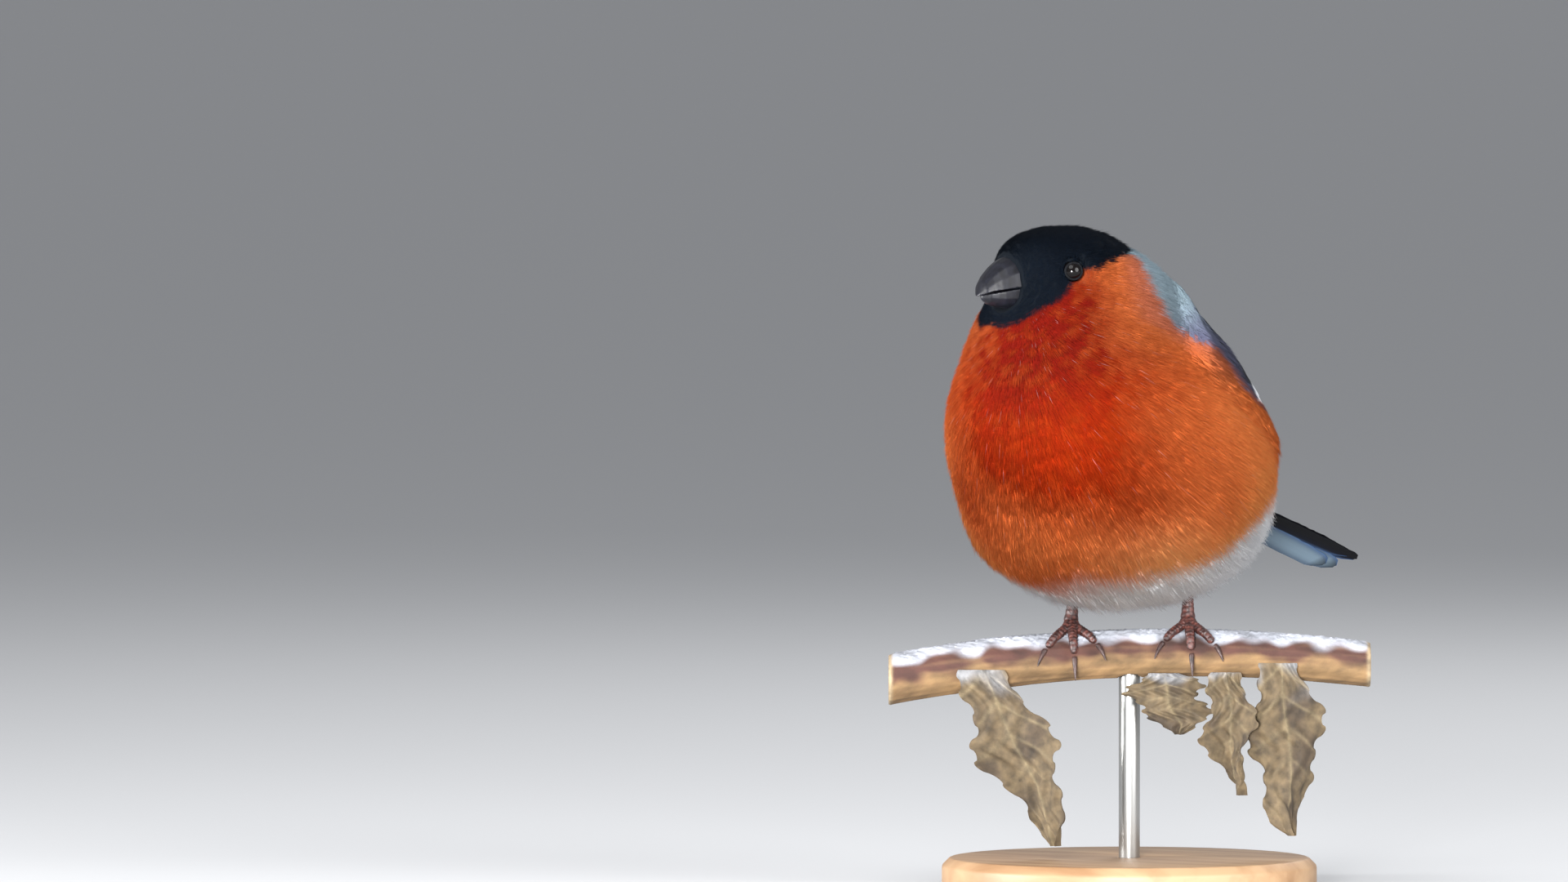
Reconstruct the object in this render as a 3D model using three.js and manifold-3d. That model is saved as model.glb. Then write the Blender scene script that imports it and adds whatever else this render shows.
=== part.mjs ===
// A male bullfinch fluffed up against the cold, gripping a cut length of dry stem on a plain display stand.
// Millimetres. The bird's breast faces -Y, its left side is +X and +Z is up. The origin is the middle of the
// stand's underside. The bird is shaped from its own zero: the top of the stem, midway between the feet.
import * as THREE from "three";
import { mergeVertices } from "three/addons/utils/BufferGeometryUtils.js";
import Module from "manifold-3d";

const wasm = await Module();
wasm.setup();

// Driving sizes
const gap = 0.32; // between pieces that touch
const footLevel = 64; // top of the stem above the floor
const stemTurn = 35; // degrees from the bird's left-right line to the stem
const stem = { radius: 6, length: 118, peakAt: 12, arch: 0.0013, thinning: 0.0011, sides: 14, steps: 20 };
const stemKnot = { at: -33, length: 5, height: 0.28 };
const stand = { baseRadius: 46, baseHeight: 8, chamfer: 2, rodRadius: 2.6, rodSink: 4 };
const headAt = { left: -2, back: -24, up: 87, yaw: 25, pitch: 4 };
const bodyMesh = { turns: 42, levels: 28, inset: 0.25, foot: -3, footShare: 0.1 };
const eye = { forward: 6.2, up: 1.9, sunk: 1.75, radius: 2.6, lidAt: 1.7, lidRadius: 2.0, lidThick: 0.45 };
const bill = { base: 11.5, tip: 26.4, culmenAt: 6.9, tomiumAt: -1.2, width: 6.2, chinAt: -7.4, lowerTip: 25 };
const billCurve = { width: [2.7, 0.62], culmen: [2.5, 0.72], chin: [2.2, 0.75], steps: 9, across: 8 };
const billHook = { from: 0.85, drop: 0.9, sag: 1.1, end: 0.28, lowerWidth: 0.93, upperTip: 2.1, lowerTip: 2.6 };
const nostril = { side: 3.9, forward: 17.8, up: 3.6, radii: [0.6, 0.8, 0.5] };
const cuts = { through: [0, -40, 71.5], normal: [0, -0.426, 0.905], neckDepth: 11 };
const tail = { root: [0, 31, 33.1], drop: 16.2, length: 68, feathers: 6, tipSpread: 0.62, roof: 8, twist: 18 };
const tailVane = { inner: 8.5, outer: 7, thick: 0.9, first: 0.5, rootSpread: 0.3, sink: [0.14, 0.34] };
const coverts = { spread: [2.2, 3.1], back: [30, 49], up: [23.5, 21.4], width: 8, thick: 1.6, pairs: 2 };
const feet = { apart: 14.3, toeRadius: 1.05, jointHeight: 3.1, tarsusRadius: 1.15, tarsusTop: 12 };

const deg = Math.PI / 180;
const vec = (x, y, z) => new THREE.Vector3(x, y, z);
const mix = (a, b, t) => a + (b - a) * t;

// Materials, with the colours that the real surfaces have
function finish(color, roughness, metalness = 0) {
  return new THREE.MeshStandardMaterial({ color, roughness, metalness });
}
const materials = {
  black: finish(0x14171c, 0.5),
  orange: finish(0xd9481c, 0.9),
  wing: finish(0x1a1c24, 0.45),
  tailBlack: finish(0x15171f, 0.4),
  white: finish(0xe6e6e4, 0.95),
  bill: finish(0x2b2d33, 0.45),
  eye: finish(0x0a0807, 0.08),
  leg: finish(0x5a2f28, 0.6),
  claw: finish(0x2a2022, 0.4),
  stem: finish(0x8a6a48, 0.85),
  leaf: finish(0x8f7a58, 0.85),
  wood: finish(0xb08a60, 0.6),
  steel: finish(0x9a9a98, 0.35, 0.9),
};

// Solids and meshes
function solidOf(geometry) {
  const plain = geometry.index ? geometry.toNonIndexed() : geometry.clone();
  plain.deleteAttribute("normal");
  plain.deleteAttribute("uv");
  const merged = mergeVertices(plain, 1e-4);
  return new wasm.Manifold(
    new wasm.Mesh({
      numProp: 3,
      vertProperties: merged.attributes.position.array,
      triVerts: new Uint32Array(merged.index.array),
    }),
  );
}

function largestOf(solid) {
  return solid.decompose().reduce((best, piece) => (piece.volume() > best.volume() ? piece : best));
}

function joined(solids) {
  return largestOf(solids.reduce((sum, piece) => sum.add(piece)));
}

function meshOf(name, solid, material) {
  const made = largestOf(solid).getMesh();
  const points = new Float32Array(made.numVert * 3);
  for (let i = 0; i < made.numVert; i += 1) {
    points.set(made.vertProperties.subarray(i * made.numProp, i * made.numProp + 3), i * 3);
  }
  const geometry = new THREE.BufferGeometry();
  geometry.setAttribute("position", new THREE.BufferAttribute(points, 3));
  geometry.setIndex(new THREE.BufferAttribute(new Uint32Array(made.triVerts), 1));
  geometry.computeVertexNormals();
  const mesh = new THREE.Mesh(geometry, material);
  mesh.name = name;
  return mesh;
}

// A closed skin over rings of equal count, each ring anticlockwise as seen from the last ring's end.
// A thin sheet's rings run along its front and back along its rear, and both faces are split alike
function skinOver(rings, thinSheet = false) {
  const count = rings[0].length;
  const points = rings.flat();
  const faces = [];
  for (let k = 0; k + 1 < rings.length; k += 1) {
    for (let i = 0; i < count; i += 1) {
      const j = (i + 1) % count;
      const [a, b, c, d] = [k * count + i, k * count + j, (k + 1) * count + j, (k + 1) * count + i];
      if (thinSheet && i >= count / 2) faces.push(a, b, d, b, c, d);
      else faces.push(a, b, c, a, c, d);
    }
  }
  for (const [ring, start, flip] of [[rings[0], 0, true], [rings.at(-1), (rings.length - 1) * count, false]]) {
    const centre = ring.reduce((sum, p) => sum.add(p), vec(0, 0, 0)).divideScalar(count);
    points.push(centre);
    for (let i = 0; i < count; i += 1) {
      const j = (i + 1) % count;
      const [first, second] = flip ? [j, i] : [i, j];
      faces.push(start + first, start + second, points.length - 1);
    }
  }
  const geometry = new THREE.BufferGeometry().setFromPoints(points);
  geometry.setIndex(faces);
  const solid = solidOf(geometry);
  return solid.volume() < 0 ? solidOf(turnedInsideOut(geometry)) : solid;
}

function turnedInsideOut(geometry) {
  const faces = [...geometry.index.array];
  for (let i = 0; i < faces.length; i += 3) {
    [faces[i + 1], faces[i + 2]] = [faces[i + 2], faces[i + 1]];
  }
  return geometry.clone().setIndex(faces);
}

function headingAt(points, k) {
  const ahead = points[Math.min(k + 1, points.length - 1)].clone();
  return ahead.sub(points[Math.max(k - 1, 0)]).normalize();
}

// A round, tapering length along a list of points
function taper(points, radii, sides) {
  const rings = points.map((point, k) => {
    const along = headingAt(points, k);
    const side = vec(0.31, 0.87, 0.39).cross(along).normalize();
    const up = along.clone().cross(side);
    return Array.from({ length: sides }, (_, i) => {
      const a = (i / sides) * 2 * Math.PI;
      const spot = point.clone().addScaledVector(side, radii[k] * Math.cos(a));
      return spot.addScaledVector(up, radii[k] * Math.sin(a));
    });
  });
  return skinOver(rings);
}

function ball(centre, radii, turn, across = 20, down = 14) {
  const geometry = new THREE.SphereGeometry(1, across, down);
  const frame = (turn ?? new THREE.Matrix4()).clone().scale(vec(...radii));
  return solidOf(geometry.applyMatrix4(frame.setPosition(centre)));
}

// A wedge of clear space from a root point, running back
function roomAlong(root, turn, run, halfWidth, halfHeight) {
  const rings = run.map((distance, k) =>
    [[1, 0.5], [0.5, 1], [-0.5, 1], [-1, 0.5], [-1, -1], [1, -1]].map(([x, z]) =>
      vec(x * halfWidth[k], distance, z * halfHeight[k])
        .applyMatrix4(turn)
        .add(vec(...root)),
    ),
  );
  return skinOver(rings);
}

// The head's own frame: left, back and up, turned to the bird's right and tipped down
const headTurn = new THREE.Matrix4()
  .makeRotationZ(-headAt.yaw * deg)
  .multiply(new THREE.Matrix4().makeRotationX(headAt.pitch * deg));
const headFrame = headTurn.clone().setPosition(headAt.left, headAt.back, headAt.up);
const onHead = (left, forward, up) => vec(left, -forward, up).applyMatrix4(headFrame);

// The plumage's outer form is a blend of soft ellipsoids
const level = new THREE.Matrix4();
const rumpTurn = new THREE.Matrix4().makeRotationX(-35 * deg);
const softForms = {
  belly: { at: vec(0.3, -5.6, 38), radii: vec(39, 39.2, 30.5), turn: level, blend: 0 },
  skirt: { at: vec(-1.9, -6.2, 24.6), radii: vec(32.4, 33.2, 16.2), turn: level, blend: 9 },
  breast: { at: vec(-0.4, -17.7, 52), radii: vec(35.1, 34.8, 30), turn: level, blend: 10 },
  mantle: { at: vec(0, -4.5, 54), radii: vec(25, 22, 25), turn: level, blend: 12 },
  rump: { at: vec(0, 20, 33), radii: vec(22, 21, 15), turn: rumpTurn, blend: 12 },
  neck: { at: vec(-2.6, -21.4, 73), radii: vec(22.8, 21, 19), turn: level, blend: 12 },
  nape: { at: vec(1.5, -15, 80), radii: vec(19, 17, 13), turn: level, blend: 8 },
  cranium: { at: onHead(0, 0.6, 0.4), radii: vec(14.6, 16.4, 12), turn: headTurn, blend: 5 },
  cheeks: { at: onHead(0, 4, -6.2), radii: vec(13.8, 11.6, 8.8), turn: headTurn, blend: 5 },
  forehead: { at: onHead(0, 9.4, 2.6), radii: vec(10.2, 9.8, 8.9), turn: headTurn, blend: 5 },
  chin: { at: onHead(0, 9.6, -6.2), radii: vec(8.4, 8.4, 7.4), turn: headTurn, blend: 4 },
};
const forms = Object.values(softForms).map((form) => ({ ...form, back: form.turn.clone().invert() }));

function distanceTo(form, point) {
  const q = point.clone().sub(form.at).applyMatrix4(form.back);
  const k0 = vec(q.x / form.radii.x, q.y / form.radii.y, q.z / form.radii.z).length();
  const k1 = vec(q.x / form.radii.x ** 2, q.y / form.radii.y ** 2, q.z / form.radii.z ** 2).length() + 1e-9;
  return (k0 * (k0 - 1)) / k1;
}

function blendOf(list) {
  return (point) =>
    list.reduce((sum, form) => {
      const d = distanceTo(form, point);
      if (sum === null) return d;
      const h = THREE.MathUtils.clamp(0.5 + (0.5 * (sum - d)) / form.blend, 0, 1);
      return mix(sum, d, h) - form.blend * h * (1 - h);
    }, null);
}

const plumage = blendOf(forms);
// The folded wings lie on the back and run on over the root of the tail
const wingBed = blendOf([
  ...forms,
  {
    at: vec(0, 42, 31.5),
    radii: vec(11, 34, 5.6),
    turn: level,
    back: new THREE.Matrix4().makeRotationX(tail.drop * deg),
    blend: 9,
  },
]);

function reach(field, from, along, longest) {
  const step = 1.5;
  let outside = longest;
  while (outside > 0 && field(from.clone().addScaledVector(along, outside)) > 0) outside -= step;
  let [inner, outer] = [Math.max(outside, 0), outside + step];
  for (let i = 0; i < 22; i += 1) {
    const middle = (inner + outer) / 2;
    if (field(from.clone().addScaledVector(along, middle)) > 0) outer = middle;
    else inner = middle;
  }
  return inner;
}

function outwardAt(field, point) {
  const d = 0.4;
  const slope = (step) => field(point.clone().add(step)) - field(point.clone().sub(step));
  return vec(slope(vec(d, 0, 0)), slope(vec(0, d, 0)), slope(vec(0, 0, d))).normalize();
}

// The body is a stack of level rings round a bent upright line
const spine = [
  [4, 0, 0],
  [36, 0, -5],
  [60, 0, -14],
  [78, -1, -21],
  [100, -2, -25],
];
function spineAt(z) {
  const k = Math.max(1, spine.findIndex(([height]) => height >= z));
  const [[z0, x0, y0], [z1, x1, y1]] = [spine[k - 1], spine[k]];
  const t = (z - z0) / (z1 - z0);
  return vec(mix(x0, x1, t), mix(y0, y1, t), z);
}

function bodySolid(grow = 0) {
  const up = vec(0, 0, 1);
  const middle = spineAt(50);
  const top = headAt.up + reach(plumage, vec(headAt.left, headAt.back - 1, headAt.up), up, 30);
  const bottom = middle.z - reach(plumage, vec(0, bodyMesh.foot, middle.z), vec(0, 0, -1), 60);
  const rings = [];
  for (let k = 0; k <= bodyMesh.levels; k += 1) {
    const share = k / bodyMesh.levels;
    const eased = mix(share, 0.5 - 0.5 * Math.cos(Math.PI * share), 0.5);
    const z = mix(bottom + bodyMesh.inset - grow, top - bodyMesh.inset + grow, eased);
    const centre = spineAt(z);
    if (share < bodyMesh.footShare) centre.y = mix(bodyMesh.foot, centre.y, share / bodyMesh.footShare);
    rings.push(
      Array.from({ length: bodyMesh.turns }, (_, i) => {
        const a = (i / bodyMesh.turns) * 2 * Math.PI;
        const along = vec(Math.cos(a), Math.sin(a), 0);
        return centre.clone().addScaledVector(along, reach(plumage, centre, along, 75) + grow);
      }),
    );
  }
  return skinOver(rings);
}

// Bill: rings across the head's forward line, for the upper and the lower half
function billHalf(upper, grow = 0) {
  const tip = upper ? bill.tip : bill.lowerTip;
  const fade = (t, [inner, outer]) => Math.max(0, 1 - t ** inner) ** outer;
  const rings = [];
  for (let k = 0; k <= billCurve.steps; k += 1) {
    const t = k / billCurve.steps;
    const forward = mix(bill.base, tip + grow, t);
    const share = upper ? 1 : billHook.lowerWidth;
    const width = bill.width * share * fade(t, billCurve.width) + billHook.end + grow;
    const tomium = bill.tomiumAt - billHook.sag * t ** 2;
    const hooked = Math.max(0, t - billHook.from) / (1 - billHook.from);
    const edge = upper ? tomium - billHook.drop * hooked : tomium - gap;
    const crest = upper
      ? mix(bill.tomiumAt - billHook.upperTip, bill.culmenAt, fade(t, billCurve.culmen))
      : mix(bill.tomiumAt - billHook.lowerTip, bill.chinAt, fade(t, billCurve.chin));
    const way = upper ? 1 : -1;
    const floor = edge - way * grow;
    const rise = crest - edge + way * grow;
    const ring = Array.from({ length: billCurve.across + 1 }, (_, i) => {
      const a = (i / billCurve.across) * Math.PI;
      return onHead(width * Math.cos(a), forward, floor + rise * Math.sin(a) ** 0.8);
    });
    ring.push(onHead(0, forward, floor + way * 0.15));
    rings.push(ring);
  }
  return skinOver(rings);
}

function nostrils() {
  const at = (side) => onHead(side * nostril.side, nostril.forward, nostril.up);
  return [1, -1].map((side) => ball(at(side), nostril.radii, headTurn, 8, 6));
}

// Feather vanes: a thin leaf with a raised shaft line, laid along points with an outward direction at each
const vaneShape = {
  round: [0.55, 1, 0.85, 0.16],
  long: [0.5, 0.95, 1, 0.8, 0.14],
  tail: [0.5, 0.9, 1, 1, 0.35],
};
function vane(points, outward, width, thick, shape) {
  const rings = points.map((point, k) => {
    const along = headingAt(points, k);
    const side = outward[k].clone().cross(along).normalize();
    const up = along.clone().cross(side);
    const half = (width / 2) * shape[k];
    const rise = thick * mix(1, 0.55, k / (points.length - 1)) * 0.5;
    return [
      point.clone().addScaledVector(side, half),
      point.clone().addScaledVector(up, rise),
      point.clone().addScaledVector(side, -half),
      point.clone().addScaledVector(up, -rise),
    ];
  });
  return skinOver(rings, true);
}

// The wing is drawn along the back: distance along a line from the neck to the tail, and degrees down from the ridge
const backLine = { from: vec(0, -22, 62), along: vec(0, 0.8528, -0.5227), ridge: vec(0, 0.5227, 0.8528) };
function onBack(side, run, angle, lift) {
  const from = backLine.from.clone().addScaledVector(backLine.along, run);
  const along = backLine.ridge
    .clone()
    .multiplyScalar(Math.cos(angle * deg))
    .addScaledVector(vec(side, 0, 0), Math.sin(angle * deg));
  const point = from.addScaledVector(along, reach(wingBed, from, along, 60));
  const outward = outwardAt(wingBed, point);
  return { point: point.addScaledVector(outward, lift), outward };
}

function backVane(side, root, tip, lift, width, thick, shape) {
  const spots = shape.map((_, k) => {
    const t = k / (shape.length - 1);
    return onBack(side, mix(root[0], tip[0], t), mix(root[1], tip[1], t), mix(lift[0], lift[1], t));
  });
  return vane(spots.map((s) => s.point), spots.map((s) => s.outward), width, thick, shape);
}

// Each tier: how many feathers, and where its first and last one start and end
const coverThick = 0.95;
const wingTiers = {
  primaries: {
    count: 6, root: [[40, 66], [44, 46]], tip: [[56, 52], [80, 17]], lift: [0.9, 0.95], width: 7, shape: "long",
  },
  secondaries: {
    count: 5, root: [[30, 62], [30, 36]], tip: [[54, 48], [66, 20]], lift: [1.2, 1.3], width: 8.5, shape: "long",
  },
  tertials: {
    count: 3, root: [[24, 38], [22, 24]], tip: [[54, 27], [43, 18]], lift: [1.5, 1.8], width: 9, shape: "round",
  },
  greaterCoverts: {
    count: 6, root: [[14, 68], [13, 32]], tip: [[33, 67], [34, 28]], lift: [1.6, 2.0], width: 8, shape: "round",
  },
  medianCoverts: {
    count: 5, root: [[5, 66], [4, 33]], tip: [[19, 66], [19, 30]], lift: [1.7, 2.4], width: 8, shape: "round",
  },
};
const wingBase = { inner: 0.62, outer: 1.75, rim: 1.1, across: 5 };

function wingCore(side) {
  const runs = [2, 12, 24, 36, 46];
  const angles = [[34, 70], [28, 71], [25, 69], [28, 62], [34, 54]];
  const rings = runs.map((run, k) => {
    const spots = (lift) =>
      Array.from({ length: wingBase.across }, (_, i) => {
        const angle = mix(...angles[k], i / (wingBase.across - 1));
        return onBack(side, run, angle, lift).point;
      });
    const outer = k === 0 || k === runs.length - 1 ? wingBase.rim : wingBase.outer;
    return [...spots(wingBase.inner), ...spots(outer).reverse()];
  });
  return skinOver(rings, true);
}

function wingSolid(side) {
  const pieces = [wingCore(side)];
  for (const tier of Object.values(wingTiers)) {
    for (let i = 0; i < tier.count; i += 1) {
      const t = i / (tier.count - 1);
      const place = ([first, last]) => [mix(first[0], last[0], t), mix(first[1], last[1], t)];
      const step = 0.12 * (i % 2);
      const lift = tier.lift.map((height) => height + step + 0.05 * i);
      const shape = vaneShape[tier.shape];
      pieces.push(backVane(side, place(tier.root), place(tier.tip), lift, tier.width, coverThick, shape));
    }
  }
  return joined(pieces);
}

// Tail: six pairs of long feathers, the middle pair on top, the outer ones lower and shorter in the fold.
// The whole fan is tilted about its own line, left edge up
const tailBack = vec(0, Math.cos(tail.drop * deg), -Math.sin(tail.drop * deg));
const tailTurn = new THREE.Matrix4()
  .makeRotationAxis(tailBack, -tail.twist * deg)
  .multiply(new THREE.Matrix4().makeRotationX(-tail.drop * deg));
const onTail = (across, along, up) => vec(across, along, up).applyMatrix4(tailTurn).add(vec(...tail.root));

function tailSolid() {
  const pieces = [taper([onTail(0, 0, 0), onTail(0, 12, 0)], [2.6, 2.2], 10)];
  const last = tail.feathers - 1;
  for (const side of [1, -1]) {
    for (let i = 0; i < tail.feathers; i += 1) {
      const slant = side * Math.sin(tail.roof * deg) * (i / last);
      const outward = vec(slant, 0, 1).normalize().applyMatrix4(tailTurn);
      const length = tail.length - 2.6 * Math.abs(i - 4) ** 0.5 + (i > 4 ? -1.5 : 0);
      const points = vaneShape.tail.map((_, k) => {
        const t = k / (vaneShape.tail.length - 1);
        const across = side * (tailVane.first + i * mix(tailVane.rootSpread, tail.tipSpread, t));
        return onTail(across, length * t, -i * mix(...tailVane.sink, t) - (side > 0 ? 0 : 0.1));
      });
      const width = mix(tailVane.inner, tailVane.outer, i / last);
      pieces.push(vane(points, points.map(() => outward), width, tailVane.thick, vaneShape.tail));
    }
  }
  return joined(pieces);
}

function undertailSolid() {
  const pieces = [];
  for (let i = -coverts.pairs; i <= coverts.pairs; i += 1) {
    const points = vaneShape.round.map((_, k) => {
      const t = k / (vaneShape.round.length - 1);
      const back = mix(coverts.back[0], coverts.back[1] - Math.abs(i), t);
      return vec(i * mix(...coverts.spread, t), back, mix(...coverts.up, t) + 0.25 * Math.abs(i));
    });
    const outward = vec(i * 0.12, 0.1, 1).normalize();
    pieces.push(vane(points, points.map(() => outward), coverts.width, coverts.thick, vaneShape.round));
  }
  return joined(pieces);
}

// Stem: it runs across the view, bent in a slow arch, and the toes lie on it
const stemAlong = vec(Math.cos(stemTurn * deg), Math.sin(stemTurn * deg), 0);
const stemFront = vec(Math.sin(stemTurn * deg), -Math.cos(stemTurn * deg), 0);
const knotAt = (s) => stemKnot.height * Math.exp(-(((s - stemKnot.at) / stemKnot.length) ** 2));
const stemRadius = (s) => stem.radius * (1 - stem.thinning * s) + knotAt(s);
function stemCentre(s) {
  const drop = stem.arch * (s - stem.peakAt) ** 2;
  return stemAlong.clone().multiplyScalar(s).add(vec(0, 0, -stem.radius - drop));
}
function onStem(s, angle, lift) {
  const r = stemRadius(s) + lift;
  return stemCentre(s)
    .addScaledVector(stemFront, r * Math.sin(angle * deg))
    .add(vec(0, 0, r * Math.cos(angle * deg)));
}

function stemSolid() {
  const rings = [];
  for (let k = 0; k <= stem.steps; k += 1) {
    const s = mix(-stem.length / 2, stem.length / 2, k / stem.steps);
    rings.push(Array.from({ length: stem.sides }, (_, i) => onStem(s, (360 * (i + 0.5)) / stem.sides, 0)));
  }
  return skinOver(rings);
}

// Feet. Toes: reach round the stem in mm (behind is negative), drift along it, and the claw's length
const toes = [
  { name: "inner", reach: 6.5, drift: -5.4, claw: 4.8 },
  { name: "middle", reach: 9, drift: 0.6, claw: 6 },
  { name: "outer", reach: 7, drift: 5.6, claw: 4.8 },
  { name: "hind", reach: -8, drift: 0.4, claw: 6.2 },
];
function toePath(centre, toe, spread) {
  const joint = onStem(centre, 0, feet.jointHeight);
  const lift = feet.toeRadius + gap;
  const way = Math.sign(toe.reach);
  const points = [joint];
  const knuckles = 4;
  for (let k = 1; k <= knuckles; k += 1) {
    const t = k / knuckles;
    const along = centre + toe.drift * spread * t;
    const round = (toe.reach * t + way * 0.9) / (stem.radius + lift) / deg;
    points.push(onStem(along, round, lift + (k % 2 ? 0.25 : 0)));
  }
  return points;
}

function clawPath(path, length) {
  const end = path.at(-1);
  const heading = end.clone().sub(path.at(-2)).normalize();
  const points = [end.clone().addScaledVector(heading, feet.toeRadius * 0.5 + gap)];
  for (let k = 1; k <= 4; k += 1) {
    heading.add(vec(0, 0, -0.2)).normalize();
    points.push(points.at(-1).clone().addScaledVector(heading, length / 4));
  }
  return points;
}

function legParts(name, side) {
  const centre = side * feet.apart;
  const joint = onStem(centre, 0, feet.jointHeight);
  const hip = joint.clone().add(vec(-side * 0.8, 1.2, feet.tarsusTop));
  const shin = [hip, hip.clone().lerp(joint, 0.5), hip.clone().lerp(joint, 0.85), joint];
  const pieces = [
    taper(shin, [feet.tarsusRadius, feet.tarsusRadius, feet.tarsusRadius * 1.25, feet.tarsusRadius * 1.5], 8),
    ball(joint, [1.75, 1.75, 1.35], null, 8, 6),
  ];
  const claws = [];
  for (const toe of toes) {
    const path = toePath(centre, toe, Math.abs(toe.drift) > 1 ? side : 1);
    const radii = path.map((_, k) => feet.toeRadius * [1.2, 1, 1.04, 0.92, 0.8][k]);
    const tip = path.at(-1).clone().addScaledVector(path.at(-1).clone().sub(path.at(-2)).normalize(), 0.45);
    pieces.push(taper([...path, tip], [...radii, 0.5], 6));
    const nail = clawPath([...path, tip], toe.claw);
    claws.push([`claw_${name}_${toe.name}`, taper(nail, [0.8, 0.72, 0.55, 0.36, 0.12], 6)]);
  }
  return { leg: joined(pieces), claws, socket: taper(shin, shin.map(() => feet.tarsusRadius + gap), 8) };
}

// Dry leaves: lobed, curled sheets that hang from the stem. Angles are in degrees
const leaves = [
  { name: "perch_leaf_left", at: -36, from: 95, length: 45, width: 19, sway: 19, curl: 34, twist: 55, seed: 1 },
  { name: "perch_leaf_mid", at: 8, from: 128, length: 15, width: 18, sway: 4, curl: -30, twist: 15, seed: 4 },
  { name: "perch_leaf_curl", at: 23.5, from: 125, length: 30, width: 12, sway: 3, curl: 45, twist: 80, seed: 7 },
  { name: "perch_leaf_right", at: 37, from: 100, length: 42, width: 17, sway: 3, curl: -36, twist: -45, seed: 2 },
];
const leafMesh = { stations: 12, across: 6, thick: 0.7 };
function onLeaf(leaf, t, v, offset) {
  const wave = Math.sin(leaf.seed * 1.7 + t * 9);
  const middle = onStem(leaf.at + leaf.sway * t + 1.2 * wave * t, leaf.from, 1.5)
    .addScaledVector(stemFront, 1.5 * t * Math.sin(t * 5 + leaf.seed))
    .add(vec(0, 0, -leaf.length * t));
  const turn = (leaf.twist * t * t + 6 * wave * t) * deg;
  const side = stemAlong.clone().multiplyScalar(Math.cos(turn)).addScaledVector(stemFront, Math.sin(turn));
  const face = side.clone().cross(vec(0, 0, 1));
  const lobes = 1 + 0.24 * Math.sin(t * 13 + leaf.seed + (v > 0 ? 2 : 0));
  const half = (leaf.width / 2) * Math.sin(Math.PI * mix(0.12, 0.985, t)) ** 0.75 * lobes + 0.3;
  const bend = leaf.curl * deg * mix(0.4, 1.5, t) * v;
  const crumple = 0.9 * t * Math.sin(v * 4 + t * 8 + leaf.seed);
  const arc = Math.abs(leaf.curl) * deg * mix(0.4, 1.5, t);
  return middle
    .addScaledVector(side, (half * Math.sin(bend) * Math.sign(leaf.curl)) / arc)
    .addScaledVector(face, (half * (1 - Math.cos(bend)) * Math.sign(leaf.curl)) / arc + crumple + offset);
}

function leafSolid(leaf) {
  const rings = [];
  const spots = Array.from({ length: leafMesh.across }, (_, i) => (i / (leafMesh.across - 1)) * 2 - 1);
  for (let k = 0; k < leafMesh.stations; k += 1) {
    const t = k / (leafMesh.stations - 1);
    const half = leafMesh.thick / 2;
    const front = spots.map((v) => onLeaf(leaf, t, v, half));
    const rear = spots.toReversed().map((v) => onLeaf(leaf, t, v, -half));
    rings.push([...front, ...rear]);
  }
  return skinOver(rings, true);
}

// Assembly
const whole = new THREE.Group();
const bird = new THREE.Group();
bird.position.z = footLevel;
whole.add(bird);

const legs = { left: legParts("left", 1), right: legParts("right", -1) };
const eyes = Object.entries({ left: 1, right: -1 }).map(([name, side]) => {
  const middle = onHead(0, eye.forward, eye.up);
  const out = vec(side, 0, 0).applyMatrix4(headTurn);
  const at = middle.addScaledVector(out, reach(plumage, middle, out, 30) - eye.sunk);
  return { name, side, at, ball: ball(at, [eye.radius, eye.radius, eye.radius], null, 14, 9) };
});

function lidRing({ side, at }) {
  const out = vec(side, -0.35, 0.03).normalize().applyMatrix4(headTurn);
  const face = at.clone().addScaledVector(out, eye.lidAt);
  const ring = new THREE.TorusGeometry(eye.lidRadius, eye.lidThick, 5, 16);
  const turn = new THREE.Quaternion().setFromUnitVectors(vec(0, 0, 1), out);
  return solidOf(ring.applyQuaternion(turn).translate(face.x, face.y, face.z));
}

const mouthSocket = billHalf(true, gap).add(billHalf(false, gap));
const normal = vec(...cuts.normal).normalize();
const cutAt = normal.dot(vec(...cuts.through));
const down = normal.clone().negate();
const body = bodySolid();
const bodyRoom = bodySolid(gap);

let head = body.trimByPlane(normal.toArray(), cutAt + gap / 2);
for (const eyeball of eyes) {
  head = head.add(lidRing(eyeball));
}
head = head.subtract(mouthSocket);
for (const { at } of eyes) {
  const room = eye.radius + gap;
  head = head.subtract(ball(at, [room, room, room], null, 14, 9));
}
const neck = body
  .trimByPlane(down.toArray(), -(cutAt - gap / 2))
  .trimByPlane(normal.toArray(), cutAt - cuts.neckDepth + gap / 2);
const tailPiece = tailSolid();
const undertail = undertailSolid();
const tailRoom = roomAlong(tail.root, tailTurn, [-1.2, 24], [7.2, 9.2], [2.9, 2.2]);
const coverTurn = new THREE.Matrix4().makeRotationX(-6 * deg);
const coverRoom = roomAlong([0, 30, 23.5], coverTurn, [-1, 20], [9.2, 11.2], [1.6, 1.6]);
const torso = body
  .trimByPlane(down.toArray(), -(cutAt - cuts.neckDepth - gap / 2))
  .subtract(legs.left.socket)
  .subtract(legs.right.socket)
  .subtract(tailRoom)
  .subtract(coverRoom);

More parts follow.
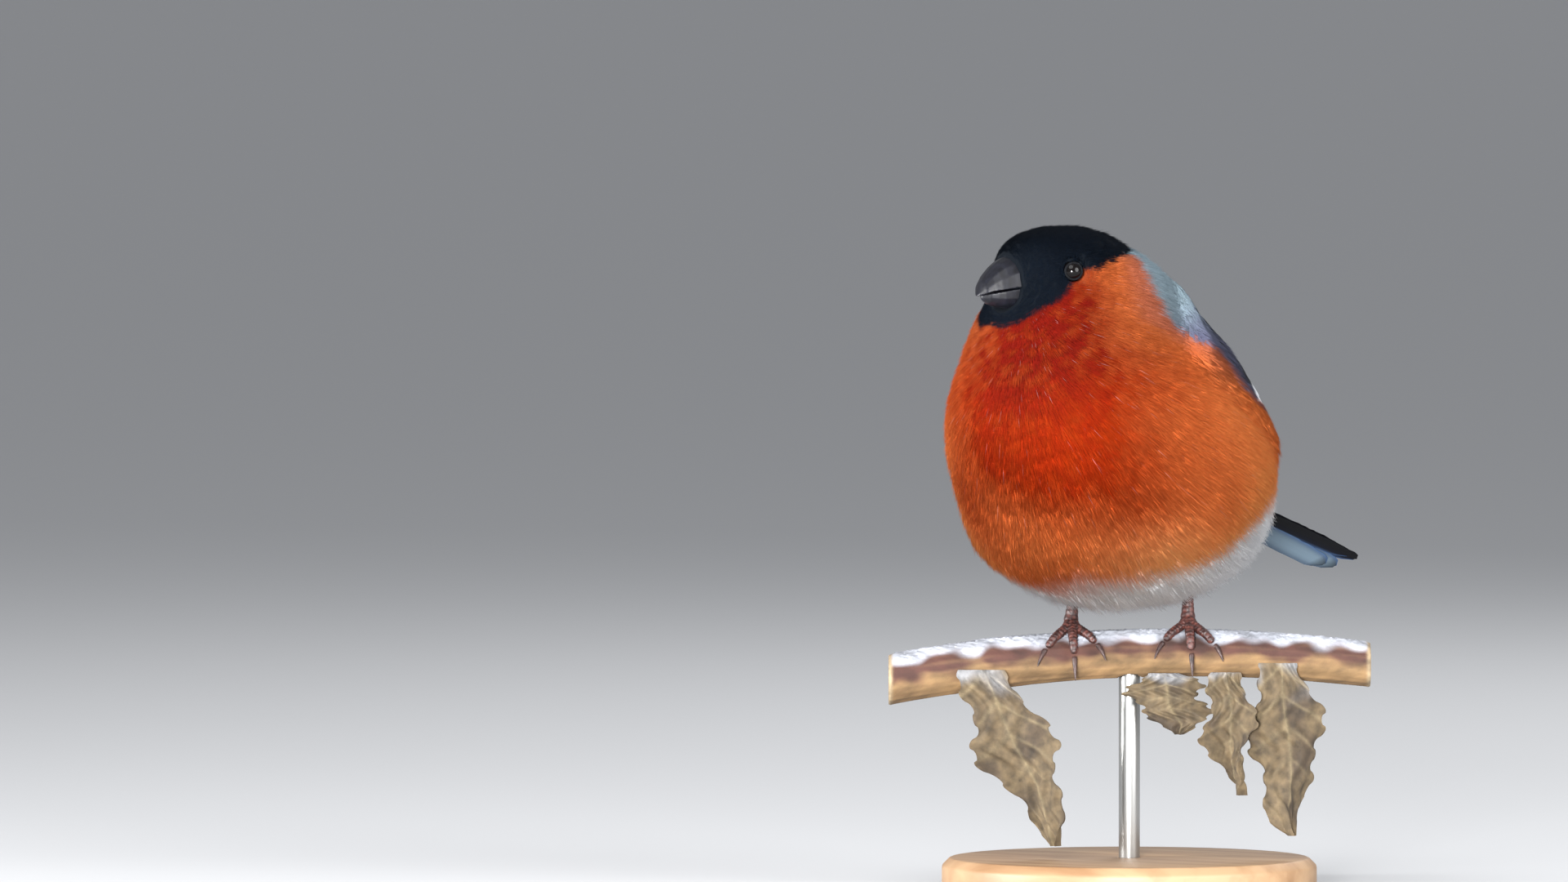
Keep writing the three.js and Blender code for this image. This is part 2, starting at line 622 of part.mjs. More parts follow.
bird.add(
  meshOf("head", head, materials.black),
  meshOf("neck", neck, materials.orange),
  meshOf("torso", torso, materials.orange),
  meshOf("bill_upper", nostrils().reduce((sum, pit) => sum.subtract(pit), billHalf(true)), materials.bill),
  meshOf("bill_lower", billHalf(false), materials.bill),
  meshOf("tail", tailPiece, materials.tailBlack),
  meshOf("undertail_coverts", undertail, materials.white),
);
for (const { name, side, ball: eyeball } of eyes) {
  bird.add(meshOf(`eye_${name}`, eyeball, materials.eye));
  bird.add(meshOf(`wing_${name}`, wingSolid(side).subtract(bodyRoom), materials.wing));
  bird.add(meshOf(`leg_${name}`, legs[name].leg, materials.leg));
  for (const [clawName, claw] of legs[name].claws) {
    bird.add(meshOf(clawName, claw, materials.claw));
  }
}

// Stand: a turned base and one rod let into the stem
const rodFoot = stand.baseHeight - stand.rodSink;
const rodTop = footLevel + stemCentre(0).z - stem.radius + stand.rodSink;
function rodShape(radius, low, high) {
  const upright = new THREE.CylinderGeometry(radius, radius, high - low, 20).rotateX(Math.PI / 2);
  return solidOf(upright.translate(0, 0, (low + high) / 2));
}
const rod = rodShape(stand.rodRadius, rodFoot, rodTop);
const rodRoom = rodShape(stand.rodRadius + gap, rodFoot - gap, rodTop + gap);
const baseOutline = [
  [0, 0],
  [stand.baseRadius, 0],
  [stand.baseRadius, stand.baseHeight - stand.chamfer],
  [stand.baseRadius - stand.chamfer, stand.baseHeight],
  [0, stand.baseHeight],
].map(([r, z]) => new THREE.Vector2(r, z));
const base = solidOf(new THREE.LatheGeometry(baseOutline, 48).rotateX(Math.PI / 2));
const stemPiece = stemSolid().translate([0, 0, footLevel]).subtract(rodRoom);

whole.add(
  meshOf("stand_base", base.subtract(rodRoom), materials.wood),
  meshOf("stand_rod", rod, materials.steel),
  meshOf("perch_stem", stemPiece, materials.stem),
);
for (const leaf of leaves) {
  const mesh = meshOf(leaf.name, leafSolid(leaf), materials.leaf);
  mesh.position.z = footLevel;
  whole.add(mesh);
}

export default whole;
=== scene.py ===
import math

import bpy
import numpy as np
from mathutils import Matrix, Vector
from mathutils.bvhtree import BVHTree


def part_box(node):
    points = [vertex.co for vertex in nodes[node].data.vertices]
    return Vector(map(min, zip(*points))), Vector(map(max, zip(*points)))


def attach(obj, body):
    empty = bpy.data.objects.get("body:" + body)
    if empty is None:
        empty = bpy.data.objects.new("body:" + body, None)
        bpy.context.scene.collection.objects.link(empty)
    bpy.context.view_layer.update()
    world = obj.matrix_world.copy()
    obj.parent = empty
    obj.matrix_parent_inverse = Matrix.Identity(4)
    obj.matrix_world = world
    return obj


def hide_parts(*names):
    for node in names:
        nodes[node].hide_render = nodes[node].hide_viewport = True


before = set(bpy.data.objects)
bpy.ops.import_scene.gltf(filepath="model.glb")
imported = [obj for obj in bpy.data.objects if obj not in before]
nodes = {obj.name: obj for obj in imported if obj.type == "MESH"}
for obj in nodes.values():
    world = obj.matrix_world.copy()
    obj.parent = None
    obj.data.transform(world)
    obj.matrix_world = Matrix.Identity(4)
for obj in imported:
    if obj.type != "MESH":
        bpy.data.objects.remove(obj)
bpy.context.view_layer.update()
mm = 0.001
rng = np.random.default_rng(19)

# The bird's own zero is the top of the stem between its feet, as in the part
bird = {
    "footLevel": 64,
    "stemTurn": 35,
    "headAt": (-2, -24, 87),
    "headYaw": 25,
    "headPitch": 4,
    "tailRoot": (0, 31, 33.1),
    "tailDrop": 16.2,
    "tailTwist": 18,
    "flowEnd": (0, 36, 24),
}


def spin(axis, degrees):
    return np.array(Matrix.Rotation(math.radians(degrees), 3, axis))


headTurn = spin("Z", -bird["headYaw"]) @ spin("X", bird["headPitch"])
upward = np.array([0, 0, 1])
footLift = upward * bird["footLevel"]


def onHead(left, forward, up):
    return np.array(bird["headAt"]) + headTurn @ np.array([left, -forward, up])


def toWorld(points):
    return (np.asarray(points, float) + footLift) * mm


def toBird(points):
    return np.asarray(points, float) / mm - footLift


def unit(rows):
    return rows / np.maximum(np.linalg.norm(rows, axis=-1, keepdims=True), 1e-9)


def ramp(value, low, high):
    t = np.clip((value - low) / (high - low), 0, 1)
    return t * t * (3 - 2 * t)


def tint(red, green, blue):
    c = np.array([red, green, blue]) / 255
    return np.where(c <= 0.04045, c / 12.92, ((c + 0.055) / 1.055) ** 2.4)


# Blender helpers
def deselectAll():
    if bpy.context.mode != "OBJECT":
        bpy.ops.object.mode_set(mode="OBJECT")
    bpy.ops.object.select_all(action="DESELECT")


def makeActive(piece):
    deselectAll()
    piece.select_set(True)
    bpy.context.view_layer.objects.active = piece


def applyMod(piece, kind, **values):
    makeActive(piece)
    mod = piece.modifiers.new(kind.title(), kind)
    for key, value in values.items():
        setattr(mod, key, value)
    bpy.ops.object.modifier_apply(modifier=mod.name)


# One even closed surface in place of the piece's own faces, with its steps smoothed
def evenOut(piece, voxel, smoothing):
    applyMod(piece, "REMESH", mode="VOXEL", voxel_size=voxel)
    applyMod(piece, "SMOOTH", factor=0.5, iterations=smoothing)


def applyPlace(piece):
    makeActive(piece)
    bpy.ops.object.transform_apply(location=True, rotation=True, scale=True)


def nameIt(piece, name):
    piece.name = name
    piece.data.name = name
    return piece


def editAll(piece, *steps):
    makeActive(piece)
    bpy.ops.object.mode_set(mode="EDIT")
    bpy.ops.mesh.select_all(action="SELECT")
    for step in steps:
        step()
    bpy.ops.object.mode_set(mode="OBJECT")


def mergePoints():
    bpy.ops.mesh.remove_doubles(threshold=0.00001)


def faceOut():
    bpy.ops.mesh.normals_make_consistent(inside=False)


def splitLoose():
    bpy.ops.mesh.separate(type="LOOSE")


def unwrap():
    bpy.ops.uv.smart_project(angle_limit=math.radians(66), island_margin=0.004)


def copyOf(nodeName, newName):
    piece = nodes[nodeName].copy()
    piece.data = nodes[nodeName].data.copy()
    piece.parent = None
    for key in list(piece.keys()):
        del piece[key]
    bpy.context.scene.collection.objects.link(piece)
    piece.hide_set(False)
    piece.hide_viewport = piece.hide_render = False
    piece.data.materials.clear()
    editAll(piece, mergePoints)
    return nameIt(piece, newName)


def joinPieces(pieces):
    makeActive(pieces[0])
    for piece in pieces:
        piece.select_set(True)
    bpy.ops.object.join()
    return pieces[0]


def smoothShade(piece, angle=None):
    makeActive(piece)
    if angle is None:
        bpy.ops.object.shade_smooth()
    else:
        bpy.ops.object.shade_smooth_by_angle(angle=math.radians(angle))


def finishPiece(piece, material, replaced=()):
    piece.data.materials.clear()
    piece.data.materials.append(material)
    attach(piece, "root")
    if replaced:
        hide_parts(*replaced)
    return piece


def readRows(piece, key):
    flat = np.zeros(len(piece.data.vertices) * 3)
    piece.data.vertices.foreach_get(key, flat)
    return flat.reshape(-1, 3)


def pointsOf(piece):
    return readRows(piece, "co")


def normalsOf(piece):
    return readRows(piece, "normal")


def movePoints(piece, points):
    piece.data.vertices.foreach_set("co", points.astype(np.float32).ravel())
    piece.data.update()


def paint(mesh, tones):
    layer = mesh.color_attributes.new("plumage", "FLOAT_COLOR", "POINT")
    rgba = np.ones((len(tones), 4), np.float32)
    rgba[:, :3] = tones
    layer.data.foreach_set("color", rgba.ravel())


# One mesh from rows of points and rows of triangles
def meshPiece(name, points, triangles, tones, uvs=None):
    mesh = bpy.data.meshes.new(name)
    mesh.vertices.add(len(points))
    mesh.vertices.foreach_set("co", points.astype(np.float32).ravel())
    mesh.loops.add(triangles.size)
    mesh.loops.foreach_set("vertex_index", triangles.astype(np.int32).ravel())
    mesh.polygons.add(len(triangles))
    mesh.polygons.foreach_set("loop_start", np.arange(0, triangles.size, 3, dtype=np.int32))
    mesh.update(calc_edges=True)
    paint(mesh, tones)
    if uvs is not None:
        layer = mesh.uv_layers.new(name="OFBake")
        layer.data.foreach_set("uv", uvs[triangles.ravel()].astype(np.float32).ravel())
    piece = bpy.data.objects.new(name, mesh)
    bpy.context.scene.collection.objects.link(piece)
    return piece


# Materials
def newMaterial(name, roughness=0.5, color=(0.5, 0.5, 0.5), metallic=0.0, sockets=None):
    material = bpy.data.materials.new(name)
    material.use_nodes = True
    shader = material.node_tree.nodes["Principled BSDF"]
    shader.inputs["Base Color"].default_value = (*color, 1)
    shader.inputs["Roughness"].default_value = roughness
    shader.inputs["Metallic"].default_value = metallic
    for key, value in (sockets or {}).items():
        shader.inputs[key].default_value = value
    return material, shader, material.node_tree


def paintedColor(tree):
    color = tree.nodes.new("ShaderNodeAttribute")
    color.attribute_name = "plumage"
    return color.outputs["Color"]


def plumageMaterial(name, roughness, specular):
    material, shader, tree = newMaterial(name, roughness, sockets={"Specular IOR Level": specular})
    tree.links.new(paintedColor(tree), shader.inputs["Base Color"])
    return material


def addNoise(tree, scale, detail, stretch=(1, 1, 1), turn=(0, 0, 0)):
    place = tree.nodes.new("ShaderNodeTexCoord")
    mapping = tree.nodes.new("ShaderNodeMapping")
    mapping.inputs["Scale"].default_value = stretch
    mapping.inputs["Rotation"].default_value = turn
    noise = tree.nodes.new("ShaderNodeTexNoise")
    noise.inputs["Scale"].default_value = scale
    noise.inputs["Detail"].default_value = detail
    tree.links.new(place.outputs["Object"], mapping.inputs["Vector"])
    tree.links.new(mapping.outputs["Vector"], noise.inputs["Vector"])
    return noise


def addRamp(tree, source, stops):
    band = tree.nodes.new("ShaderNodeValToRGB")
    while len(band.color_ramp.elements) < len(stops):
        band.color_ramp.elements.new(0.5)
    for element, (position, color) in zip(band.color_ramp.elements, stops):
        element.position = position
        element.color = (*color, 1)
    tree.links.new(source, band.inputs["Fac"])
    return band


def addBump(tree, shader, height, strength, distance):
    bump = tree.nodes.new("ShaderNodeBump")
    bump.inputs["Strength"].default_value = strength
    bump.inputs["Distance"].default_value = distance
    tree.links.new(height, bump.inputs["Height"])
    tree.links.new(bump.outputs["Normal"], shader.inputs["Normal"])


# Camera: the photograph's direction and framing, with 5 of its pixels to a millimetre
shot = {
    "azimuth": 35,
    "elevation": 2,
    "pixelsPerMm": 5.0,
    "photoSize": (1920, 1080),
    "footPixel": (1383, 770),
    "distance": 4.0,
    "sensor": 36,
}


def addCamera():
    a, e = math.radians(shot["azimuth"]), math.radians(shot["elevation"])
    right = Vector((math.cos(a), math.sin(a), 0))
    back = Vector((math.sin(a) * math.cos(e), -math.cos(a) * math.cos(e), math.sin(e)))
    up = back.cross(right)
    if up.z < 0:
        up.negate()
    across = (shot["photoSize"][0] / 2 - shot["footPixel"][0]) / shot["pixelsPerMm"] * mm
    rise = (shot["footPixel"][1] - shot["photoSize"][1] / 2) / shot["pixelsPerMm"] * mm
    aim = Vector((0, 0, bird["footLevel"] * mm)) + right * across + up * rise
    bpy.ops.object.camera_add(location=aim + back * shot["distance"])
    camera = bpy.context.object
    camera.rotation_euler = (-back).to_track_quat("-Z", "Y").to_euler()
    camera.data.sensor_width = shot["sensor"]
    fieldWidth = shot["photoSize"][0] / shot["pixelsPerMm"] * mm
    camera.data.lens = shot["sensor"] * shot["distance"] / fieldWidth
    camera.data.clip_end = 100
    bpy.context.scene.camera = camera


addCamera()
print("camera is placed")


# Markings: black cap and chin, orange face and breast, grey nape and mantle, white vent and rump, with painted
# shade on the upper breast and painted light on the flanks and lower breast
colors = {
    "cap": tint(5, 13, 22),
    "throatRedAndShade": tint(100, 14, 0),
    "breast": tint(166, 43, 0),
    "paleAndLitFlank": tint(255, 144, 76),
    "underside": tint(255, 172, 108),
    "cheekEdge": tint(172, 100, 80),
    "belly": tint(247, 247, 250),
    "nape": tint(136, 154, 164),
    "mantle": tint(110, 112, 138),
    "rump": tint(236, 238, 240),
}
capEdge = {
    "forward": [-24, -20, -14, -8.7, -1.8, 3.8, 6.5, 9.2, 11.8, 15.7, 18.3, 20.4, 24],
    "up": [12, 8.5, 6.4, 4.8, 3.3, 1.8, 0.1, -1.9, -4.3, -6.8, -8.8, -10.0, -10.4],
}
greyEdge = {
    "height": [30, 40, 48, 54, 60, 65, 69, 72, 75, 78.5, 82, 88, 92, 99],
    "angle": [160, 155, 145, 128, 110, 107, 106, 100, 94, 88, 89, 93, 103, 107],
}
spineLine = {"height": [4, 36, 60, 78, 100], "x": [0, 0, 0, -1, -2], "y": [0, -5, -14, -21, -25]}

# Where each tone begins and ends: heights in mm, and angles in degrees from the front
zones = {
    # Upper breast: the heights where it turns a deeper red and darker with painted shade
    "throatRedAndShade": (34, 70),
    "throatSlant": 0.16,
    "leftAngle": (24, 98),
    # Flanks and lower breast: where painted light pales them, partly with their own paler colour lower down
    "leftFade": (54, 70),
    "rightAngle": (10, 60),
    "rightTop": 62,
    "rightDepth": 18,
    "lowTop": 46,
    "lowDepth": 28,
    "lowShare": 0.66,
    "underTop": 38,
    # A patch of painted light from below, low on the left side
    "underDepth": 22,
    "underAngle": (10, 50),
    "cheekHeight": (58, 70),
    "ventTop": 12.5,
    "ventSlope": 0.44,
    "ventFrom": 28,
    "greyHeight": (33, 41),
    "napeHeight": (70, 82),
    "rumpBack": (20, 26),
    "rumpAngle": (120, 145),
    "capHeight": (70, 73),
}


def ripple(p, size, seed):
    q = p / size + seed
    waves = np.sin(q[:, 0] * 1.3 + 1.7 * np.sin(q[:, 1])) + np.sin(q[:, 1] * 1.7 + 1.3 * np.sin(q[:, 2]))
    return (waves + np.sin(q[:, 2] * 1.5 + 1.9 * np.sin(q[:, 0]))) / 3


def blend(base, other, share):
    return base + (other - base) * share[:, None]


def markingsAndLight(p):
    local = (p - np.array(bird["headAt"])) @ headTurn
    forward, up = -local[:, 1], local[:, 2]
    height = p[:, 2]
    x = p[:, 0] - np.interp(height, spineLine["height"], spineLine["x"])
    y = p[:, 1] - np.interp(height, spineLine["height"], spineLine["y"])
    around = np.degrees(np.arctan2(np.abs(x), -y))
    rough = ripple(p, 1.1, 3.0)
    soft = ripple(p, 9.0, 1.0)
    streak = ripple(p, 0.9, 6.0)
    turned = around + 8 * soft
    color = np.tile(colors["breast"], (len(p), 1))
    # Upper breast: a deeper red, and darker still towards the throat as painted shade
    throatRedAndShade = ramp(height + 6 * soft - zones["throatSlant"] * around, *zones["throatRedAndShade"])
    color = blend(color, colors["throatRedAndShade"], throatRedAndShade * 0.95)
    # Painted light: both flanks paler, the far one more so lower down; the lower breast paler, partly its own
    # colour and partly painted light from below
    litLeft = ramp(turned, *zones["leftAngle"]) * (x > 0) * (1 - 0.4 * ramp(height, *zones["leftFade"]))
    litRight = ramp(turned, *zones["rightAngle"]) * (x <= 0)
    litRight *= 0.25 + 0.6 * ramp(zones["rightTop"] - height, 0, zones["rightDepth"])
    low = ramp(zones["lowTop"] + 6 * soft - height, 0, zones["lowDepth"])
    paleAndLit = litLeft * 0.85 + litRight + low * zones["lowShare"]
    color = blend(color, colors["paleAndLitFlank"], np.clip(paleAndLit + 0.08 * streak, 0, 1))
    # Painted light from below: a pale patch low on the left side
    under = ramp(zones["underTop"] + 6 * soft - height, 0, zones["underDepth"])
    under *= ramp(turned, *zones["underAngle"]) * (x > 0)
    color = blend(color, colors["underside"], under * 0.85)
    edge = np.interp(height, greyEdge["height"], greyEdge["angle"])
    cheek = ramp(around + 5 * soft, edge - 26, edge - 2) * ramp(height, *zones["cheekHeight"])
    color = blend(color, colors["cheekEdge"], cheek * 0.75)
    ventLine = zones["ventTop"] + zones["ventSlope"] * (p[:, 1] + zones["ventFrom"])
    color = blend(color, colors["belly"], ramp(ventLine + 4 * soft + 1.2 * streak - height, -7, 2))
    grey = ramp(around + 1.6 * rough, edge - 1.5, edge + 2.5) * ramp(height, *zones["greyHeight"])
    nape = ramp(height, *zones["napeHeight"])
    color = color * (1 - grey[:, None])
    color += blend(np.tile(colors["mantle"], (len(p), 1)), colors["nape"], nape) * grey[:, None]
    rump = ramp(p[:, 1] + 1.5 * rough, *zones["rumpBack"]) * ramp(around, *zones["rumpAngle"])
    color = blend(color, colors["rump"], rump)
    capLine = np.interp(forward, capEdge["forward"], capEdge["up"])
    black = ramp(up + 0.35 * rough, capLine - 0.35, capLine + 0.45)
    black *= ramp(height, *zones["capHeight"])
    white = np.clip(ventLine - height + 3, 0, 10) / 10
    return blend(color, colors["cap"], black), black, grey, white


# Skin: the three body nodes as one closed form, let down inside the plumage, its colour at half tone as painted
# shade under the coat
skinPlan = {
    "voxel": 0.0009,
    "closeGap": 0.0004,
    "smoothing": 6,
    # Half tone: painted shade under the coat
    "tone": 0.5,
    "depthHead": 0.5,
    "depthBody": 1.25,
    "deepens": (16, 30),
    "facing": (0, 3, 0),
    "plugAt": (0, 10, -0.5),
    "plugSize": (8, 9, 8.5),
}


def keepLargest(piece):
    editAll(piece, splitLoose)
    found = sorted(bpy.context.selected_objects, key=lambda part: len(part.data.vertices))
    for scrap in found[:-1]:
        bpy.data.objects.remove(scrap)
    return found[-1]


def makePlug():
    deselectAll()
    bpy.ops.mesh.primitive_uv_sphere_add(segments=32, ring_count=20, radius=mm)
    plug = bpy.context.object
    plug.scale = skinPlan["plugSize"]
    plug.rotation_euler = Matrix(headTurn.tolist()).to_euler()
    plug.location = toWorld(onHead(*skinPlan["plugAt"]))
    applyPlace(plug)
    return plug


def makeSkin():
    forms = [copyOf(name, f"{name}_form") for name in ("torso", "neck", "head")]
    skin = joinPieces(forms + [makePlug()])
    applyMod(skin, "DISPLACE", strength=skinPlan["closeGap"], mid_level=0)
    applyMod(skin, "REMESH", mode="VOXEL", voxel_size=skinPlan["voxel"])
    skin = nameIt(keepLargest(skin), "bird_skin")
    applyMod(skin, "SMOOTH", factor=0.5, iterations=skinPlan["smoothing"])
    fromHead = np.linalg.norm(toBird(pointsOf(skin)) - onHead(*skinPlan["facing"]), axis=1)
    deeper = ramp(fromHead, *skinPlan["deepens"])
    depth = skinPlan["depthHead"] + (skinPlan["depthBody"] - skinPlan["depthHead"]) * deeper
    depth = depth * mm + skinPlan["closeGap"]
    movePoints(skin, pointsOf(skin) - normalsOf(skin) * depth[:, None])
    applyMod(skin, "TRIANGULATE")
    editAll(skin, unwrap)
    skin.data.uv_layers.active.name = "OFBake"
    # The skin's colour at half the markings' tone is painted shade under the coat
    paint(skin.data, markingsAndLight(toBird(pointsOf(skin)))[0] * skinPlan["tone"])
    smoothShade(skin)
    return skin


skin = makeSkin()
finishPiece(skin, plumageMaterial("plumage down", 0.9, 0.1), ("head", "neck", "torso"))
print("skin is made:", len(skin.data.polygons), "triangles")

# The wings and the feathers over them are placed by their run along this line and their angle from its ridge
backLine = {"start": (0, -22, 62), "along": (0, 0.8528, -0.5227), "ridge": (0, 0.5227, 0.8528)}

# Coat: every tuft is a small loose feather of fine barbs, laid along the body
coat = {
    "tufts": 25000,
    "barbs": 14,
    "sink": 0.3,
    "billGap": 0.3,
    "height": 1.2,
    "overWing": 3.1,
    "overWingShade": 0.34,
    "grain": 0.1,
    "paleShare": 0.005,
    "pieces": 8,
    "patch": 0.003,
    "eyeClear": 2.15,
    "billRoot": (0, 16, -1),
    "faceAt": (0, 14, -1),
    "faceReach": (24, 14),
    "faceDenser": 2.6,
    "alongFace": (0.35, 2.2, 26),
    "stray": 0.10,
    "fromBill": [2, 10, 20, 34, 60, 95],
    "length": [1.3, 2.2, 3.6, 5.6, 6.4, 6.4],
    "byLength": [1, 3, 6],
    "width": [0.13, 0.19, 0.26],
    "rise": [0.35, 0.8, 1],
    "fan": 9,
    "shortest": 0.35,
    "rootShade": 0.82,
    "tipShine": 1.12,
}
eyeSpots = [toBird(np.mean([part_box(name)[0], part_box(name)[1]], axis=0)) for name in ("eye_left", "eye_right")]


def bvhOf(names):
    points, faces = [], []
    for name in names:
        mesh = nodes[name].data
        start = len(points)
        points += [v.co.copy() for v in mesh.vertices]
        faces += [[start + i for i in poly.vertices] for poly in mesh.polygons]
    return BVHTree.FromPolygons(points, faces)


def skinSamples(count):
    mesh = skin.data
    mesh.calc_loop_triangles()
    corners = np.zeros(len(mesh.loop_triangles) * 3, int)
    mesh.loop_triangles.foreach_get("vertices", corners)
    loops = np.zeros(len(mesh.loop_triangles) * 3, int)
    mesh.loop_triangles.foreach_get("loops", loops)
    corners, loops = corners.reshape(-1, 3), loops.reshape(-1, 3)
    points, normals = toBird(pointsOf(skin)), normalsOf(skin)
    uv = np.zeros(len(mesh.loops) * 2)
    mesh.uv_layers["OFBake"].data.foreach_get("uv", uv)
    uv = uv.reshape(-1, 2)
    a, b, c = (points[corners[:, k]] for k in range(3))
    area = np.linalg.norm(np.cross(b - a, c - a), axis=1) / 2
    middle = (a + b + c) / 3
    far, depth = coat["faceReach"]
    onFace = ramp(far - np.linalg.norm(middle - onHead(*coat["faceAt"]), axis=1), 0, depth)
    weight = area * (1 + coat["faceDenser"] * onFace)
    steps = np.cumsum(weight) / weight.sum()
    picks = np.searchsorted(steps, (np.arange(count) + rng.random(count)) / count).clip(0, len(area) - 1)
    r1, r2 = np.sqrt(rng.random(count)), rng.random(count)
    share = np.stack([1 - r1, r1 * (1 - r2), r1 * r2], 1)

    def mixed(rows, index):
        return (rows[index[picks]] * share[:, :, None]).sum(1)

    return mixed(points, corners), unit(mixed(normals, corners)), mixed(uv, loops)


def featherLie(p, normal):
    fromBill = p - onHead(*coat["billRoot"])
    distance = np.linalg.norm(fromBill, axis=1, keepdims=True)
    toEnd = unit(np.array(bird["flowEnd"]) - p)
    least, added, fade = coat["alongFace"]
    way = unit(fromBill) * (least + added * np.exp(-distance / fade)) + toEnd
    way += coat["stray"] * np.stack([ripple(p, 7, k) for k in (0.0, 4.0, 8.0)], 1)
    return unit(way - normal * (way * normal).sum(1, keepdims=True))


def overBack(points):
    rest = points - np.array(backLine["start"])
    run = rest @ np.array(backLine["along"])
    angle = np.degrees(np.arctan2(np.abs(points[:, 0]), rest @ np.array(backLine["ridge"])))
    return run, angle


# How high a straight tuft's end stands over the skin
def endHeights(root, lie, length):
    tree = BVHTree.FromObject(skin, bpy.context.evaluated_depsgraph_get())
    heights = []
    for spot in toWorld(root + lie * length[:, None]):
        hit, normal, *rest = tree.find_nearest(Vector(spot))
        heights.append((Vector(spot) - hit).dot(normal))
    return np.array(heights) / mm


# Soft feathers lie over the front of the folded wing and close over its lower edge
def raisedRoots(root, normal):
    run, angle = overBack(root)
    overWing = ramp(run, -5, 7) * ramp(52 - run, 0, 10) * ramp(angle, 18, 32) * ramp(86 - angle, 0, 13)
    overWing *= np.maximum(ramp(18 - run, 0, 2), ramp(angle, 66, 70))
    return root + normal * (coat["overWing"] * overWing)[:, None], overWing


# How far a point is from the bill's surface, less than zero inside it
def billGap(points):
    tree = bvhOf(["bill_upper", "bill_lower"])
    gaps = []
    for spot in toWorld(points):
        hit, normal, index, distance = tree.find_nearest(Vector(spot))
        inside = (Vector(spot) - hit).dot(normal) < 0
        gaps.append(-distance if inside else distance)
    return np.array(gaps) / mm


def makeCoat():
    root, normal, uv = skinSamples(coat["tufts"])
    keep = billGap(root) > coat["billGap"]
    for spot in eyeSpots:
        keep &= np.linalg.norm(root - spot, axis=1) > coat["eyeClear"] + 0.2
    root, normal, uv = root[keep], normal[keep], uv[keep]
    tone, black, grey, white = markingsAndLight(root)
    lie = featherLie(root, normal)
    side = np.cross(normal, lie)
    flat = root
    root, overWing = raisedRoots(root, normal)
    count = len(root)
    fromBill = np.linalg.norm(root - onHead(*coat["billRoot"]), axis=1)
    length = np.interp(fromBill, coat["fromBill"], coat["length"])
    length *= 1 - 0.25 * black + 0.3 * white
    for spot in eyeSpots:
        room = np.linalg.norm(root - spot, axis=1) - coat["eyeClear"]
        length = np.minimum(length, np.maximum(room * 0.85, 0.45) + 0.1)
    width = np.interp(length, coat["byLength"], coat["width"]) * (1 + 0.2 * grey - 0.15 * white)
    height = coat["height"] * np.interp(length, coat["byLength"], coat["rise"])
    height *= 1 - 0.3 * black + 0.5 * white
    height *= 1 + (0.2 + 0.45 * white) * rng.standard_normal(count).clip(-1.5, 1.8)
    climb = height + coat["sink"] - endHeights(flat, lie, length)
    lift = np.arcsin(np.clip(climb / length, -0.25, 0.5))
    lift *= 1 - 0.8 * overWing
    fan = np.radians(coat["fan"] * (1 + white) + 2 * rng.standard_normal(count))
    tuftTone = (1 + 0.035 * rng.standard_normal(count)) * (1 - coat["overWingShade"] * overWing)

    barbs = coat["barbs"]
    spread = np.linspace(-1, 1, barbs)[None, :] + 0.12 * rng.standard_normal((count, barbs))
    reach = length[:, None] * (1 - 0.24 * spread**2) * (1 + 0.12 * rng.standard_normal((count, barbs)))
    reach = np.maximum(reach, coat["shortest"])
    wide = width[:, None] * (0.75 + 0.5 * rng.random((count, barbs)))
    turn = fan[:, None] * spread
    rise = lift[:, None] + np.radians(2) * rng.standard_normal((count, barbs))
    roll = np.radians(10) * rng.standard_normal((count, barbs))

    def each(rows):
        return np.repeat(rows, barbs, axis=0)

    n, f, s = each(normal), each(lie), each(side)
    turn, rise, roll = turn.ravel()[:, None], rise.ravel()[:, None], roll.ravel()[:, None]
    reach, wide = reach.ravel()[:, None], wide.ravel()[:, None]
    way = unit(f * np.cos(turn) + s * np.sin(turn))
    start = each(root) + s * (spread.ravel()[:, None] * wide * barbs * 0.3) - n * coat["sink"]
    out = unit(n * np.cos(roll) + np.cross(way, n) * np.sin(roll))
    half = unit(np.cross(out, way)) * wide / 2
    tip = start + (way * np.cos(rise) + n * np.sin(rise)) * reach
    points = np.stack([start + half, start - half, start - out * wide * 0.5, tip], 1)
    # A barb's top, root end and two undersides
    pattern = np.array([[0, 1, 3], [0, 2, 1], [1, 2, 3], [0, 3, 2]])
    grain = 1 + coat["grain"] * rng.standard_normal((count * barbs, 1)).clip(-2, 2)
    pale = rng.random((count * barbs, 1)) < coat["paleShare"] * (1 - each(np.maximum(black, grey))[:, None])
    barbTone = each(tone * tuftTone[:, None]) * grain
    barbTone = np.where(pale, barbTone * 0.8 + np.array(colors["belly"]) * 0.12, barbTone)
    barbTone = np.clip(barbTone, 0.002, 1)
    rootTone = barbTone * coat["rootShade"]
    tipTone = np.clip(barbTone * coat["tipShine"] + 0.002, 0, 1)
    tones = np.stack([rootTone, rootTone, rootTone, tipTone], 1)
    patch = coat["patch"] / 2
    u = each(uv[:, :1]) + np.clip(spread.ravel()[:, None], -1, 1) * patch * 0.8
    along = np.array([-1, -1, -1, 1]) * patch
    nudge = np.array([0.15, -0.15, 0, 0]) * patch
    maps = np.stack([u + nudge, each(uv[:, 1:]) + along], 2)

    order = np.argsort(np.degrees(np.arctan2(root[:, 0], -root[:, 1])) // 45, kind="stable")
    for index, tufts in enumerate(np.array_split(order, coat["pieces"])):
        rows = (tufts[:, None] * barbs + np.arange(barbs)).ravel()
        faces = (np.arange(len(rows))[:, None, None] * 4 + pattern).reshape(-1, 3)
        piece = meshPiece(
            f"coat_{index + 1}",
            toWorld(points[rows].reshape(-1, 3)),
            faces,
            tones[rows].reshape(-1, 3),
            maps[rows].reshape(-1, 2),
        )
        finishPiece(piece, coatMaterial)
        print(piece.name, len(faces), "triangles")


coatMaterial = plumageMaterial("plumage barbs", 0.85, 0.02)
makeCoat()
print("coat is made")


